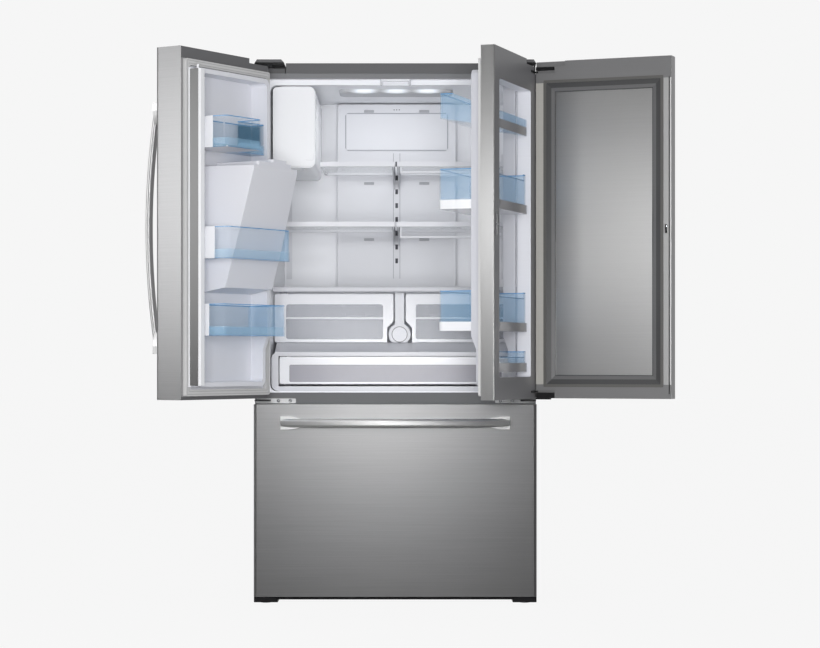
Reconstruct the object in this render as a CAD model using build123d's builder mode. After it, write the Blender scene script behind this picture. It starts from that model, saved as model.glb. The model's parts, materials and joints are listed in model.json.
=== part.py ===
"""French door refrigerator with a door-in-door and a freezer drawer, in millimetres.

X runs to the right, Y to the back and Z up. The origin is on the floor, midway between the
cabinet's sides, under the plane that its door seals close on. Every door is drawn shut and
then swung about its pins to the open rest position.
"""

import os

from build123d import *

os.makedirs("parts", exist_ok=True)

# ---- Driving dimensions ----
half_width = 454.0
cabinet_depth = 700.0
cabinet_top = 1704.0
case_low = 26.0
sheet = 1.2
clearance = 0.4

# fresh food compartment, at its mouth and at its back wall
fridge_mouth = 414.0
fridge_half = 407.0
fridge_back_half = 392.0
fridge_floor, fridge_ceiling = 676.0, 1670.0
fridge_back = 612.0
mouth_depth = 30.0
mouth_low, mouth_high = 672.0, 1686.0

# freezer compartment and machine room
freezer_half = 405.0
freezer_floor, freezer_ceiling = 105.0, 612.0
freezer_back = 600.0
freezer_step = 420.0
machine_front, machine_top, machine_half = 466.0, 330.0, 446.0
liner_wall = 2.0

# doors, drawn shut
door_gap = 12.0
door_low, door_high = 654.8, 1733.5
door_side, door_meeting = 452.0, 2.0
door_front = -109.7
inner_front, outer_back = -56.0, -58.0
gasket_width, gasket_face = 20.0, -0.5
pin_x, pin_y, pin_radius = 446.6, -54.6, 3.0
outer_pin_x, outer_pin_y = 448.0, -62.0
left_angle, inner_angle, outer_angle = 122.3, 71.1, 87.4
notch_reach, notch_top = 100.0, 1717.5
swing_clear_x, swing_clear_y = 440.5, -46.0
cap_lip = 1697.0

# raised ring on the inside of each door
dyke_outer, dyke_meeting = 400.0, 44.0
dyke_wall = 14.0
dyke_low, dyke_high = 695.0, 1667.0
dyke_step_low, dyke_step_high = 810.0, 850.0
dyke_shallow = 16.0
base_band = 28.0
door_dyke = 32.0

# mullion flap on the left door
flap_pivot_x, flap_pivot_y = -25.0, 5.5
flap_low, flap_high = 699.2, 1663.0
flap_thick, flap_wide, flap_pin = 22.0, 48.5, 2.5

# hinges between the two right-hand doors, above and below
knuckle, outer_pin_radius = 3.8, 2.5
upper_leaf, lower_leaf = (1697.0, 1703.0), (673.5, 679.0)
upper_arm, lower_arm = (1706.0, 1716.0), (658.0, 672.0)

# bowed handles
bar_deep, bar_rise, post_reach = 17.0, 58.0, 20.0
freezer_grip, door_grip = 730.0, 770.0

# interior fittings
shelf_front, shelf_back = 130.0, 545.0
upper_shelf, middle_shelf = 1430.0, 1232.0
cover_low, cover_high = 1000.0, 1017.0
crisper_front = 152.0
pantry_front = 32.0
duct_front = 560.0
filter_x, filter_z = 12.5, 862.0
ice_front, ice_low = 50.0, 1404.0

# freezer drawer
freezer_side = 451.5
freezer_low, freezer_high = 22.6, 635.7
freezer_face = -108.0


def slab(x, y, z, corner=0.0, along="Z", mode=Mode.ADD, taper=0.0):
    """Add a block from three (low, high) ranges, rounding its edges that run along one axis."""
    ranges = {"X": x, "Y": y, "Z": z}
    low, high = ranges[along]
    base, wide, tall = {
        "X": (Plane.YZ.offset(low), y, z),
        "Y": (Plane.XZ.offset(-high), x, z),
        "Z": (Plane.XY.offset(low), x, y),
    }[along]
    with BuildSketch(base) as section:
        with Locations((sum(wide) / 2, sum(tall) / 2)):
            if corner:
                RectangleRounded(wide[1] - wide[0], tall[1] - tall[0], corner)
            else:
                Rectangle(wide[1] - wide[0], tall[1] - tall[0])
    extrude(section.sketch, amount=high - low, taper=taper, mode=mode)


def profile(points, base, depth, corner=0.0, mode=Mode.ADD):
    """Add a prism of a closed outline on a plane, with one radius at all its corners."""
    with BuildSketch(base) as section:
        with BuildLine():
            Polyline(*points, close=True)
        make_face()
        if corner:
            fillet(section.vertices(), corner)
    extrude(section.sketch, amount=depth, mode=mode)


def rod(centre, radius, length, axis="Z", mode=Mode.ADD):
    """Add a round bar from its centre point at the low end, along +X, +Y or +Z."""
    x, y, z = centre
    base = {
        "X": Plane(origin=(x, y, z), x_dir=(0, 1, 0), z_dir=(1, 0, 0)),
        "Y": Plane(origin=(x, y, z), x_dir=(1, 0, 0), z_dir=(0, 1, 0)),
        "Z": Plane(origin=(x, y, z)),
    }[axis]
    with BuildSketch(base) as section:
        Circle(radius)
    extrude(section.sketch, amount=length, mode=mode)


def ring(x, z, y, width, corner):
    """Add a flat rectangular ring that faces the room, such as a seal."""
    slab(x, y, z, corner, "Y")
    slab(
        (x[0] + width, x[1] - width),
        y,
        (z[0] + width, z[1] - width),
        max(corner - width / 2, 2.0),
        "Y",
        Mode.SUBTRACT,
    )


def tray(x, y, z, wall, corner, draft=0.0):
    """Add an open-topped tray with a wall and floor of one thickness."""
    slab(x, y, z, corner, "Z", taper=-draft)
    slab(
        (x[0] + wall, x[1] - wall),
        (y[0] + wall, y[1] - wall),
        (z[0] + wall, z[1]),
        corner - wall,
        "Z",
        Mode.SUBTRACT,
        taper=-draft,
    )


def write(piece, name, *swings):
    """Swing a shut door's piece to its rest position, name it and write it."""
    for pin, angle in swings:
        piece.part = piece.part.rotate(pin, angle)
    piece.part.label = name
    export_step(piece.part, f"parts/{name}.step")


def upright(x, y):
    """An upright axis through a point in plan."""
    return Axis((x, y, 0), (0, 0, 1))


def fridge_space(grow, mode):
    """Add or cut the fresh food space, grown on every side, from its wide mouth to its back."""
    height = fridge_ceiling - fridge_floor + 2 * grow
    ends = []
    for half, depth in ((fridge_half, mouth_depth), (fridge_back_half, fridge_back + grow)):
        with BuildSketch(Plane.XZ.offset(-depth)) as end:
            with Locations((0, (fridge_floor + fridge_ceiling) / 2)):
                RectangleRounded(2 * (half + grow), height, 22 + grow)
        ends.append(end.sketch.face())
    loft(ends, mode=mode)
    slab(
        (-fridge_mouth - grow, fridge_mouth + grow),
        (sheet if grow else 0, mouth_depth + grow + 0.02),
        (mouth_low - grow, mouth_high + grow),
        18 + grow,
        "Y",
        mode,
    )


def freezer_space(grow, mode):
    """Add or cut the freezer space, grown on every side, with its step over the machine room."""
    near = sheet if grow else 0
    profile(
        (
            (near, freezer_floor - grow),
            (freezer_step + grow, freezer_floor - grow),
            (freezer_step + grow, 270),
            (510, 365 - grow),
            (freezer_back + grow, 365 - grow),
            (freezer_back + grow, freezer_ceiling + grow),
            (near, freezer_ceiling + grow),
        ),
        Plane.YZ.offset(-freezer_half - grow),
        2 * (freezer_half + grow),
        mode=mode,
    )


def grip(length, wide):
    """A bowed bar on two flared posts, along X, with the door's face on Y = 0."""
    half = length / 2
    with BuildPart() as bar:
        near, far = (bar_deep - 1) / 2 - post_reach + 1, bar_deep / 2 - bar_rise
        with BuildLine() as bow:
            ThreePointArc((-half - 2, near, 0), (0, far, 0), (half + 2, near, 0))
        start = Plane(origin=bow.line @ 0, x_dir=(0, 0, 1), z_dir=bow.line % 0)
        with BuildSketch(start) as section:
            RectangleRounded(wide, bar_deep, 7.5)
        sweep(sections=section.sketch, path=bow.line)
        for side in (-1, 1):
            with BuildSketch(Plane.XZ) as post:
                with BuildLine():
                    Polyline((side * (half - 24), 21), (side * half, 21), (side * half, -21))
                    Line((side * half, -21), (side * (half - 24), -21))
                    for rim in (-1, 1):
                        ThreePointArc(
                            (side * (half - 24), rim * 21),
                            (side * (half - 46), rim * (wide / 2 + 4.5)),
                            (side * (half - 66), rim * (wide / 2 - 1)),
                        )
                    Line(
                        (side * (half - 66), wide / 2 - 1),
                        (side * (half - 66), 1 - wide / 2),
                    )
                make_face()
            extrude(post.sketch, amount=post_reach)
            slab(sorted((side * half, side * (half + 30))), (-80, 10), (-40, 40), mode=Mode.SUBTRACT)
    return bar.part


left_swing = (upright(-pin_x, pin_y), -left_angle)
inner_swing = (upright(pin_x, pin_y), inner_angle)
outer_swing = (upright(outer_pin_x, outer_pin_y), outer_angle)

# ================= cabinet =================

# folded steel wrap: both sides and the top, with a return flange round the front
inside = half_width - sheet
with BuildPart() as outer_case:
    slab((-half_width, half_width), (0, cabinet_depth), (case_low, cabinet_top), 6, "Y")
    slab((-inside, inside), (sheet, cabinet_depth), (0, cabinet_top - sheet), 5, "Y", Mode.SUBTRACT)
    slab((-inside, inside), (0, cabinet_depth), (0, case_low + 10), mode=Mode.SUBTRACT)
    slab((-fridge_mouth, fridge_mouth), (-1, 5), (0, mouth_high), mode=Mode.SUBTRACT)
write(outer_case, "outer_case")

# pressed steel back, with three shallow stiffening panels
with BuildPart() as rear_panel:
    slab((-inside, inside), (699.2, cabinet_depth), (600, cabinet_top - sheet), 5, "Y")
    slab((-inside, inside), (699.2, cabinet_depth), (machine_top + 1, 700))
    for low, high in ((370, 760), (810, 1200), (1250, 1640)):
        slab((-400, 400), (cabinet_depth - 0.2, cabinet_depth + 1.2), (low, high), 30, "Y", taper=-45)
write(rear_panel, "rear_panel")

# foamed body: one block with the two compartments and the machine room cut out of it
foam_gap = liner_wall + 0.2
with BuildPart() as insulation_body:
    slab((-inside, inside), (1.4, 699), (700, cabinet_top - sheet - 0.1), 5, "Y")
    slab((-inside, inside), (1.4, 699), (60.2, 800))
    fridge_space(foam_gap, Mode.SUBTRACT)
    freezer_space(foam_gap, Mode.SUBTRACT)
    profile(
        (
            (machine_front, 28),
            (machine_front, 250),
            (546, machine_top),
            (720, machine_top),
            (720, 28),
        ),
        Plane.YZ.offset(-machine_half),
        2 * machine_half,
        mode=Mode.SUBTRACT,
    )
write(insulation_body, "insulation_body")

# moulded liners, open to the room
with BuildPart() as fridge_liner:
    fridge_space(liner_wall, Mode.ADD)
    fridge_space(0, Mode.SUBTRACT)
write(fridge_liner, "fridge_liner")

with BuildPart() as freezer_liner:
    freezer_space(liner_wall, Mode.ADD)
    freezer_space(0, Mode.SUBTRACT)
    # ledges that the upper drawer runs on
    for side in (-1, 1):
        with BuildSketch(Plane.XZ.offset(-20)) as ledge:
            with BuildLine():
                Polyline(
                    (side * freezer_half, 384),
                    (side * freezer_half, 398),
                    (side * (freezer_half - 28), 398),
                    (side * (freezer_half - 28), 394),
                    close=True,
                )
            make_face()
        extrude(ledge.sketch, amount=-470)
write(freezer_liner, "freezer_liner")

# steel rail between the compartments and under the freezer, behind the door seals
with BuildPart() as centre_rail:
    slab((-fridge_mouth + 0.2, fridge_mouth - 0.2), (0, sheet), (freezer_ceiling, mouth_low))
    slab((-fridge_mouth + 0.2, fridge_mouth - 0.2), (0, sheet), (62, freezer_floor))
    for side in (-1, 1):
        strip = sorted((side * freezer_half, side * (fridge_mouth - 0.2)))
        slab(strip, (0, sheet), (62, freezer_ceiling))
write(centre_rail, "centre_rail")

# top housing over the front edge, and a cover over each top hinge
with BuildPart() as top_covers:
    slab((-354, 354), (-4, 96), (cabinet_top, 1737), 0)
    fillet(top_covers.edges().filter_by(Axis.X).group_by(Axis.Z)[-1], 4)
    for side in (-1, 1):
        with BuildSketch(Plane.XZ.offset(66)) as cover:
            with BuildLine():
                Polyline(
                    (side * 452, 1728),
                    (side * 444, 1741),
                    (side * 366, 1741),
                    (side * 357, 1731),
                    (side * 357, 1727),
                    (side * 452, 1727),
                    close=True,
                )
            make_face()
        extrude(cover.sketch, amount=-66 - 96)
        slab(sorted((side * 452, side * 357)), (6, 96), (cabinet_top, 1728))
        slab(sorted((side * 451, side * 360)), (8, 92), (cabinet_top, 1726), mode=Mode.SUBTRACT)
        slab(sorted((side * 451, side * 396)), (5, 9), (1720, 1727), mode=Mode.SUBTRACT)
        slab(
            sorted((side * swing_clear_x, side * 460)),
            (swing_clear_y, 100),
            (cabinet_top - 1, 1750),
            mode=Mode.SUBTRACT,
        )
write(top_covers, "top_covers")

# top hinge: a bracket on the cabinet that steps up to an arm over the door, with its pin
with BuildPart() as hinge_brackets:
    for side in (-1, 1):
        with BuildSketch(Plane.YZ.offset(-450.6 if side < 0 else 396.6)) as arm:
            with BuildLine():
                Polyline(
                    (88, cabinet_top),
                    (88, cabinet_top + 4),
                    (16, cabinet_top + 4),
                    (12, 1726),
                    (-62, 1726),
                    (-62, 1722),
                    (8, 1722),
                    (12, cabinet_top),
                    close=True,
                )
            make_face()
        extrude(arm.sketch, amount=54)
        slab(
            sorted((side * (swing_clear_x - 2), side * 460)),
            (swing_clear_y, 100),
            (cabinet_top - 1, 1750),
            mode=Mode.SUBTRACT,
        )
        rod((side * pin_x, pin_y, 1704), pin_radius, 20)
        # middle hinge: a plate on the rail, an arm under the door and a pin up into it
        slab(sorted((side * 450, side * 322)), (-3, 0), (638, 653), 3, "Y")
        slab(sorted((side * 451, side * 402)), (-68, -2), (645, 650))
        rod((side * pin_x, pin_y, 646), pin_radius, 26)
write(hinge_brackets, "hinge_brackets")

# bent base sheet under the freezer and the machine room, with ears for the rear rollers
with BuildPart() as base_plate:
    profile(
        (
            (12, 26),
            (12, 60),
            (machine_front, 60),
            (machine_front, 28),
            (694, 28),
            (694, 26),
            (machine_front - 2, 26),
            (machine_front - 2, 58),
            (14, 58),
            (14, 26),
        ),
        Plane.YZ.offset(-450),
        900,
    )
    for side in (-1, 1):
        slab(sorted((side * 446.5, side * (inside - 0.2))), (12, 694), (26, 60))
        for face in (384, 414):
            slab(sorted((side * face, side * (face + 2))), (624, 656), (8, 27), 0)
        slab(sorted((side * 387, side * 413)), (616, 664), (20, 40), mode=Mode.SUBTRACT)
        rod((380 if side > 0 else -420, 640, 20), 4.4, 40, "X", Mode.SUBTRACT)
write(base_plate, "base_plate")

# rear rollers turn on their own axles
for side, name in ((-1, "roller_left"), (1, "roller_right")):
    with BuildPart() as roller:
        rod((side * 400 - 11, 640, 20), 20, 22, "X")
        fillet(roller.edges().filter_by(GeomType.CIRCLE), 2)
        rod((side * 400 - 19, 640, 20), 4, 38, "X")
    write(roller, name)

# black toe kick with a cover round each front leg and a lip under the freezer door
with BuildPart() as toe_kick:
    slab((-450, 450), (3, 11), (12, 56))
    slab((-380, 380), (-92, 4), (17, 21))
    slab((-380, 380), (-92, -88), (12.5, 21))
    for side in (-1, 1):
        slab(sorted((side * 375, side * 451.5)), (-97, 4), (4, 21), 5)
        rod((side * 415, -55, 0), 7, 30, mode=Mode.SUBTRACT)
    with Locations((0, 7, 36)):
        with GridLocations(90, 1, 8, 1):
            Box(70, 20, 6, mode=Mode.SUBTRACT)
write(toe_kick, "toe_kick")

# levelling feet: a screw through each leg cover and a round sole
with BuildPart() as levelling_feet:
    for side in (-1, 1):
        rod((side * 415, -55, 0), 17, 4)
        rod((side * 415, -55, 3), 6.5, 17.5)
    fillet(levelling_feet.edges().filter_by(GeomType.CIRCLE).group_by(Axis.Z)[0], 1)
write(levelling_feet, "levelling_feet")

# rear cover of the machine room, with two banks of vents
with BuildPart() as machine_cover:
    slab((-445.8, 445.8), (696.6, 698.4), (32, machine_top - 1), 8, "Y")
    with Locations((0, 697, 180)):
        with GridLocations(440, 18, 2, 11):
            Box(300, 10, 7, mode=Mode.SUBTRACT)
write(machine_cover, "machine_cover")

# compressor: a domed pot on a plate with four rubber mounts
with BuildPart() as compressor:
    rod((210, 585, 50), 76, 165)
    fillet(compressor.edges().filter_by(GeomType.CIRCLE).group_by(Axis.Z)[-1], 40)
    fillet(compressor.edges().filter_by(GeomType.CIRCLE).group_by(Axis.Z)[0], 14)
    slab((110, 310), (515, 655), (44, 51), 12)
    with Locations((210, 585, 36)):
        with GridLocations(160, 100, 2, 2):
            Cylinder(12, 16)
    rod((250, 560, 205), 5, 60)
    rod((165, 610, 205), 5, 60)
write(compressor, "compressor")

# condenser: tubes through a stack of fins, with the fan ring beside it
with BuildPart() as condenser:
    for row in (60, 110, 160, 210):
        rod((-400, 585, row), 5, 240, "X")
    with Locations((-280, 585, 135)):
        with GridLocations(20, 1, 12, 1):
            Box(2, 120, 190)
    slab((-120, -90), (500, 670), (28.2, 230), 10, "X")
    rod((-130, 585, 135), 68, 50, "X", Mode.SUBTRACT)
    slab((-402, -398), (520, 612), (28.2, 230))
    slab((-172, -119), (520, 530), (50, 70))
    slab((-117, -113), (510, 660), (129, 141))
write(condenser, "condenser")

# rear wall of each compartment: a cover over the cooling coil, with its air vents
vent_x = 96
with BuildPart() as duct_covers:
    slab((-205, 205), (duct_front, fridge_back - 0.2), (1020, fridge_ceiling - 4), 10, "Y")
    slab((-201, 201), (duct_front + 4, fridge_back), (1024, fridge_ceiling - 8), 8, "Y", Mode.SUBTRACT)
    slab((-179, 179), (duct_front - 3, duct_front), (1504, 1636), 14, "Y")
    for level in (1642, 1391, 1196):
        for side in (-1, 1):
            slab(
                (side * vent_x - 18, side * vent_x + 18),
                (duct_front - 5, duct_front + 5),
                (level - 5, level + 5),
                3,
                "Y",
                Mode.SUBTRACT,
            )
    slab((-396, 396), (540, 544), (375, 606), 12, "Y")
    for side in (-1, 1):
        with Locations((side * 180, 540, 560)):
            with GridLocations(26, 1, 6, 1):
                Box(12, 20, 40, mode=Mode.SUBTRACT)
write(duct_covers, "duct_covers")

# cooling coils: tubes through fin stacks behind both covers
with BuildPart() as evaporators:
    for low, rows, depth in ((1080, 5, 590), (398, 3, 572)):
        for row in range(rows):
            rod((-165, depth, low + 25 + row * 50), 4, 330, "X")
        with Locations((0, depth, low + rows * 25)):
            with GridLocations(22, 1, 15, 1):
                Box(1.6, 34, rows * 50)
write(evaporators, "evaporators")

# air fans: a hub and pitched blades; the fresh food and freezer fans turn about Y
for name, centre, reach in (
    ("fridge_fan", (0, 586, 1450), 52),
    ("freezer_fan", (250, 566, 480), 46),
    ("condenser_fan", (-104, 585, 135), 60),
):
    axis = "X" if name == "condenser_fan" else "Y"
    facing = (1, 0, 0) if axis == "X" else (0, 1, 0)
    with BuildPart() as fan:
        hub = Plane(origin=centre, x_dir=(0, 0, 1), z_dir=facing)
        with BuildSketch(hub.offset(-7)) as hub_disc:
            Circle(14)
        extrude(hub_disc.sketch, amount=14)
        blade_root = Plane(origin=centre, x_dir=facing, z_dir=(0, 0, 1))
        with BuildSketch(blade_root.offset(10)) as root_section:
            Rectangle(12, 2.4, rotation=30)
        blade = extrude(root_section.sketch, amount=reach - 10)
        for turn in range(1, 5):
            add(blade.rotate(Axis(centre, facing), 72 * turn))
    write(fan, name)

# shelves: a moulded frame with a deep front edge, round a glass pane
shelves = (
    (-249, -4, upper_shelf),
    (4, 391, upper_shelf),
    (-391, -4, middle_shelf),
    (4, 391, middle_shelf),
)
with BuildPart() as shelf_frames:
    for left, right, top in shelves:
        slab((left, right), (shelf_front, shelf_back), (top - 12, top), 8)
        slab((left, right), (shelf_front, shelf_front + 12), (top - 17, top), 4, "X")
        for edge, low in ((9, top - 20), (6, top - 5)):
            slab(
                (left + edge, right - edge),
                (shelf_front + 5 + edge, shelf_back - edge),
                (low, top + 5),
                4,
                mode=Mode.SUBTRACT,
            )
write(shelf_frames, "shelf_frames")

# shelf supports: slotted strips on the back wall, an arm under each shelf's inner end, and
# the lower front rails that hang under the right-hand shelves
with BuildPart() as shelf_ladders:
    slab((-12, 12), (duct_front - 3.6, duct_front - 0.2), (1060, 1496), 2, "Y")
    with Locations((0, duct_front - 2, 1280)):
        with GridLocations(12, 32, 2, 12):
            Box(5, 10, 16, mode=Mode.SUBTRACT)
    for side in (-1, 1):
        slab(sorted((side * 366, side * 386)), (608, 611.6), (1060, 1496), 2, "Y")
    for top, drop in ((upper_shelf, 30), (middle_shelf, 45)):
        for side in (-1, 1):
            profile(
                (
                    (shelf_front + 20, top - 12.1),
                    (duct_front - 3.8, top - 12.1),
                    (duct_front - 3.8, top - 60),
                    (shelf_back - 40, top - 46),
                    (shelf_front + 20, top - 20),
                ),
                Plane.YZ.offset(side * 8 - 1.5),
                3,
            )
        slab((14, 388), (shelf_front + 16, shelf_front + 24), (top - drop - 8, top - drop), 3, "X")
        for left in (14, 382):
            slab((left, left + 6), (shelf_front + 16, shelf_front + 24), (top - drop - 4, top - 12.1))
write(shelf_ladders, "shelf_ladders")

with BuildPart() as shelf_glass:
    for left, right, top in shelves:
        slab(
            (left + 6.2, right - 6.2),
            (shelf_front + 11.2, shelf_back - 6.2),
            (top - 5, top - 0.8),
            4,
        )
    slab((-381.8, 381.8), (106.2, 548.8), (cover_high - 5, cover_high - 0.8), 4)
write(shelf_glass, "shelf_glass")

# cover over the crispers: a deep front trim and a frame for its pane
with BuildPart() as crisper_cover:
    slab((-401, 401), (85, 104), (cover_low, cover_high))
    fillet(crisper_cover.edges().filter_by(Axis.X).group_by(Axis.Y)[0], 5)
    slab((-391, 391), (100, 556), (cover_low + 3, cover_high))
    slab((-378, 378), (110, 545), (cover_low - 5, cover_high + 5), mode=Mode.SUBTRACT)
    slab((-382, 382), (106, 549), (cover_high - 5, cover_high + 5), mode=Mode.SUBTRACT)
write(crisper_cover, "crisper_cover")

# ceiling lamp lens, and the cam block that turns the mullion flap
with BuildPart() as ceiling_lamp:
    slab((-188, 188), (150, 295), (1661, fridge_ceiling), 26)
    fillet(ceiling_lamp.edges().group_by(Axis.Z)[0], 4)
write(ceiling_lamp, "ceiling_lamp")

with BuildPart() as flap_guide:
    slab((-49, 49), (3, 29), (1667, mouth_high - 0.1), 12)
    slab((-44, 44), (-2, 22), (1660, 1680), 8, mode=Mode.SUBTRACT)
write(flap_guide, "flap_guide")

# ice room: an insulated box in the upper left corner, with a chute hole in its floor
with BuildPart() as ice_room:
    slab((-389, -262), (ice_front + 9, 606), (ice_low, fridge_ceiling - 1), 20, "Y")
    slab((-381, -274), (0, 570), (ice_low + 14, fridge_ceiling - 14), 8, "Y", Mode.SUBTRACT)
    slab((-370, -300), (ice_front + 22, ice_front + 90), (1300, 1500), 10, mode=Mode.SUBTRACT)
    # ice tray on its two end blocks
    slab((-376, -279), (430, 560), (1560, 1600), 6)
    with Locations((-327.5, 495, 1590)):
        with GridLocations(44, 22, 2, 5):
            Box(36, 17, 24, mode=Mode.SUBTRACT)
    slab((-381.5, -273.5), (558, 571), (1550, 1612))
write(ice_room, "ice_room")

# ice bucket with the front cover of the ice room
with BuildPart() as ice_bucket:
    slab((-399.5, -265), (ice_front, ice_front + 8), (ice_low + 4, fridge_ceiling - 4), 14, "Y")
    tray((-377, -278), (ice_front + 7, 412), (ice_low + 18, 1545), 3, 8)
    slab((-292, -268), (ice_front - 6, ice_front + 1), (1428, 1452), 3, "Y")
write(ice_bucket, "ice_bucket")

# water filter between the crispers: housing with a keyhole front, and the turning cartridge
with BuildPart() as filter_housing:
    with BuildSketch(Plane.XZ.offset(-crisper_front - 8)) as keyhole:
        with Locations((filter_x, filter_z)):
            Circle(36)
        with Locations((filter_x, filter_z + 64)):
            Rectangle(30, 134)
        with Locations((filter_x, 800)):
            Rectangle(80, 71.2, mode=Mode.SUBTRACT)
    extrude(keyhole.sketch, amount=9)
    rod((filter_x, crisper_front + 7, filter_z), 25, 240, "Y")
    rod((filter_x, crisper_front - 2, filter_z), 26.6, 7, "Y", Mode.SUBTRACT)
    rod((filter_x, crisper_front + 4, filter_z), 22.6, 240, "Y", Mode.SUBTRACT)
    slab((filter_x - 15, filter_x + 15), (crisper_front, crisper_front + 200), (985, 999.6))
write(filter_housing, "filter_housing")

with BuildPart() as water_filter:
    rod((filter_x, crisper_front - 1, filter_z), 26, 5.4, "Y")
    rod((filter_x, crisper_front + 4, filter_z), 22, 226, "Y")
    slab(
        (filter_x - 5, filter_x + 5),
        (crisper_front - 8, crisper_front + 1),
        (filter_z - 24, filter_z + 24),
        3,
        "Y",
    )
write(water_filter, "water_filter")

# crisper drawers: a framed front with a window, on a tub
for name, left, right in (("left_crisper", -400, -8), ("right_crisper", 33, 400)):
    tub_left, tub_right = (-387, -28) if left < 0 else (53, 387)
    window = (-362, -42) if left < 0 else (66, 362)
    with BuildPart() as crisper:
        slab((left, right), (crisper_front, crisper_front + 12), (836, 996), 6, "Y")
        for lip, start in ((0, 100), (4, crisper_front + 6)):
            slab(
                (window[0] - lip, window[1] + lip),
                (start, crisper_front + 12),
                (846 - lip, 961 + lip),
                8,
                "Y",
                Mode.SUBTRACT,
            )
        # corner cut away round the filter's housing
        inner = -1 if left < 0 else 1
        profile(
            (
                (filter_x, 830),
                (filter_x + inner * 41, 830),
                (filter_x + inner * 41, filter_z + 22),
                (filter_x + inner * 20.5, filter_z + 44),
                (filter_x, filter_z + 44),
            ),
            Plane.XZ.offset(-crisper_front - 20),
            30,
            mode=Mode.SUBTRACT,
        )
        tray((tub_left, tub_right), (crisper_front + 9, 520), (840, 982), 3, 10)
        slab((window[0], window[1]), (crisper_front + 3, crisper_front + 7), (913, 918))
    write(crisper, name)

# frame of the pantry: side posts, sills and the sloping cover that the crispers rest on
with BuildPart() as pantry_frame:
    profile(
        (
            (pantry_front, 790),
            (pantry_front, 803),
            (crisper_front, 835),
            (540, 835),
            (540, 831),
            (crisper_front + 1, 831),
            (pantry_front + 14, 798),
            (pantry_front + 14, 790),
        ),
        Plane.YZ.offset(-392),
        784,
    )
    slab((-403, 403), (pantry_front, pantry_front + 14), (677, 803), 22, "Y")
    slab((-380, 380), (pantry_front, pantry_front + 60), (676, 692))
    for side in (-1, 1):
        profile(
            ((pantry_front, 702), (pantry_front, 803), (crisper_front, 834), (536, 834), (536, 702)),
            Plane.YZ.offset(-391 if side < 0 else 380),
            11,
        )
    slab((-365, 365), (522, 540), (676, 835))
    slab((-380, 380), (0, pantry_front + 61), (692, 790), mode=Mode.SUBTRACT)
write(pantry_frame, "pantry_frame")

with BuildPart() as pantry_drawer:
    slab((-377, 377), (pantry_front + 2, pantry_front + 12), (700, 788), 5, "Y")
    slab((-345, 345), (0, 100), (706, 762), 5, "Y", Mode.SUBTRACT)
    slab((-349, 349), (pantry_front + 8, 100), (702, 766), 5, "Y", Mode.SUBTRACT)
    tray((-368, 368), (pantry_front + 8.5, 505), (698, 784), 3, 8)
write(pantry_drawer, "pantry_drawer")

# ================= freezer drawer =================
with BuildPart() as freezer_door_skin:
    slab((-freezer_side, freezer_side), (freezer_face, -door_gap - 1), (freezer_low, freezer_high), 10)
    slab((-freezer_side, freezer_side), (freezer_face + 30, 0), (0, 700), mode=Mode.SUBTRACT)
    slab((-freezer_side, freezer_side), (freezer_face + 28, -door_gap - 1), (freezer_low, freezer_high))
    slab(
        (-freezer_side + 1, freezer_side - 1),
        (freezer_face + 1, 0),
        (freezer_low + 1, freezer_high - 1),
        9,
        mode=Mode.SUBTRACT,
    )
    slab(
        (-freezer_side + 1, freezer_side - 1),
        (freezer_face + 30, 0),
        (freezer_low + 1, freezer_high - 1),
        mode=Mode.SUBTRACT,
    )
write(freezer_door_skin, "freezer_door_skin")

with BuildPart() as freezer_door_liner:
    slab((-450.4, 450.4), (freezer_face + 1, -20), (freezer_low + 1.1, freezer_high - 1.1), 9)
    slab((-450.4, 450.4), (freezer_face + 20, -door_gap), (freezer_low + 1.1, freezer_high - 1.1))
    slab((-396, 396), (-20, 8), (112, 600), 16, "Y", taper=0)
    slab((-378, 378), (-30, 20), (130, 582), 12, "Y", Mode.SUBTRACT)
write(freezer_door_liner, "freezer_door_liner")

with BuildPart() as freezer_gasket:
    ring((-440, 440), (70, 628), (-door_gap, gasket_face), gasket_width, 8)
write(freezer_gasket, "freezer_gasket")

with BuildPart() as freezer_handle:
    with Locations((0, freezer_face, 577)):
        add(grip(freezer_grip, 27))
write(freezer_handle, "freezer_handle")

# deep lower basket that hangs on the door, with its side runners
with BuildPart() as freezer_basket:
    tray((-368, 368), (12, 405), (118, 340), 3, 14)
    with Locations((0, 12, 240)):
        with GridLocations(60, 44, 10, 3):
            Box(40, 12, 14, mode=Mode.SUBTRACT)
    for side in (-1, 1):
        slab(sorted((side * 367, side * 386)), (9, 405), (228, 252))
write(freezer_basket, "freezer_basket")

with BuildPart() as freezer_slides:
    for side in (-1, 1):
        slab(sorted((side * 388, side * 405)), (20, 412), (222, 258))
        slab(sorted((side * 387, side * 396)), (10, 420), (227, 253), mode=Mode.SUBTRACT)
write(freezer_slides, "freezer_slides")

with BuildPart() as freezer_drawer:
    tray((-372, 372), (22, 470), (402, 540), 3, 12)
    for side in (-1, 1):
        slab(sorted((side * 371, side * 398)), (22, 470), (399, 404))
write(freezer_drawer, "freezer_drawer")

# ================= left door, with the ice and water dispenser =================
left_x = (-door_side, -door_meeting)
recess_x, recess_low, recess_high, panel_high = (-331, -123), 1030, 1362, 1440


def hinge_notch(side):
    """Cut the step in a door's top that the hinge arm sits in."""
    near = side * (door_side - notch_reach)
    slab(sorted((side * 500, near)), (-200, 0), (notch_top, 1800), mode=Mode.SUBTRACT)


def pin_holes(side, x, y):
    """Cut the blind holes for the upper and lower hinge pins."""
    for low in (600, 1698):
        rod((side * x, y, low), pin_radius + clearance, 75, mode=Mode.SUBTRACT)


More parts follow.
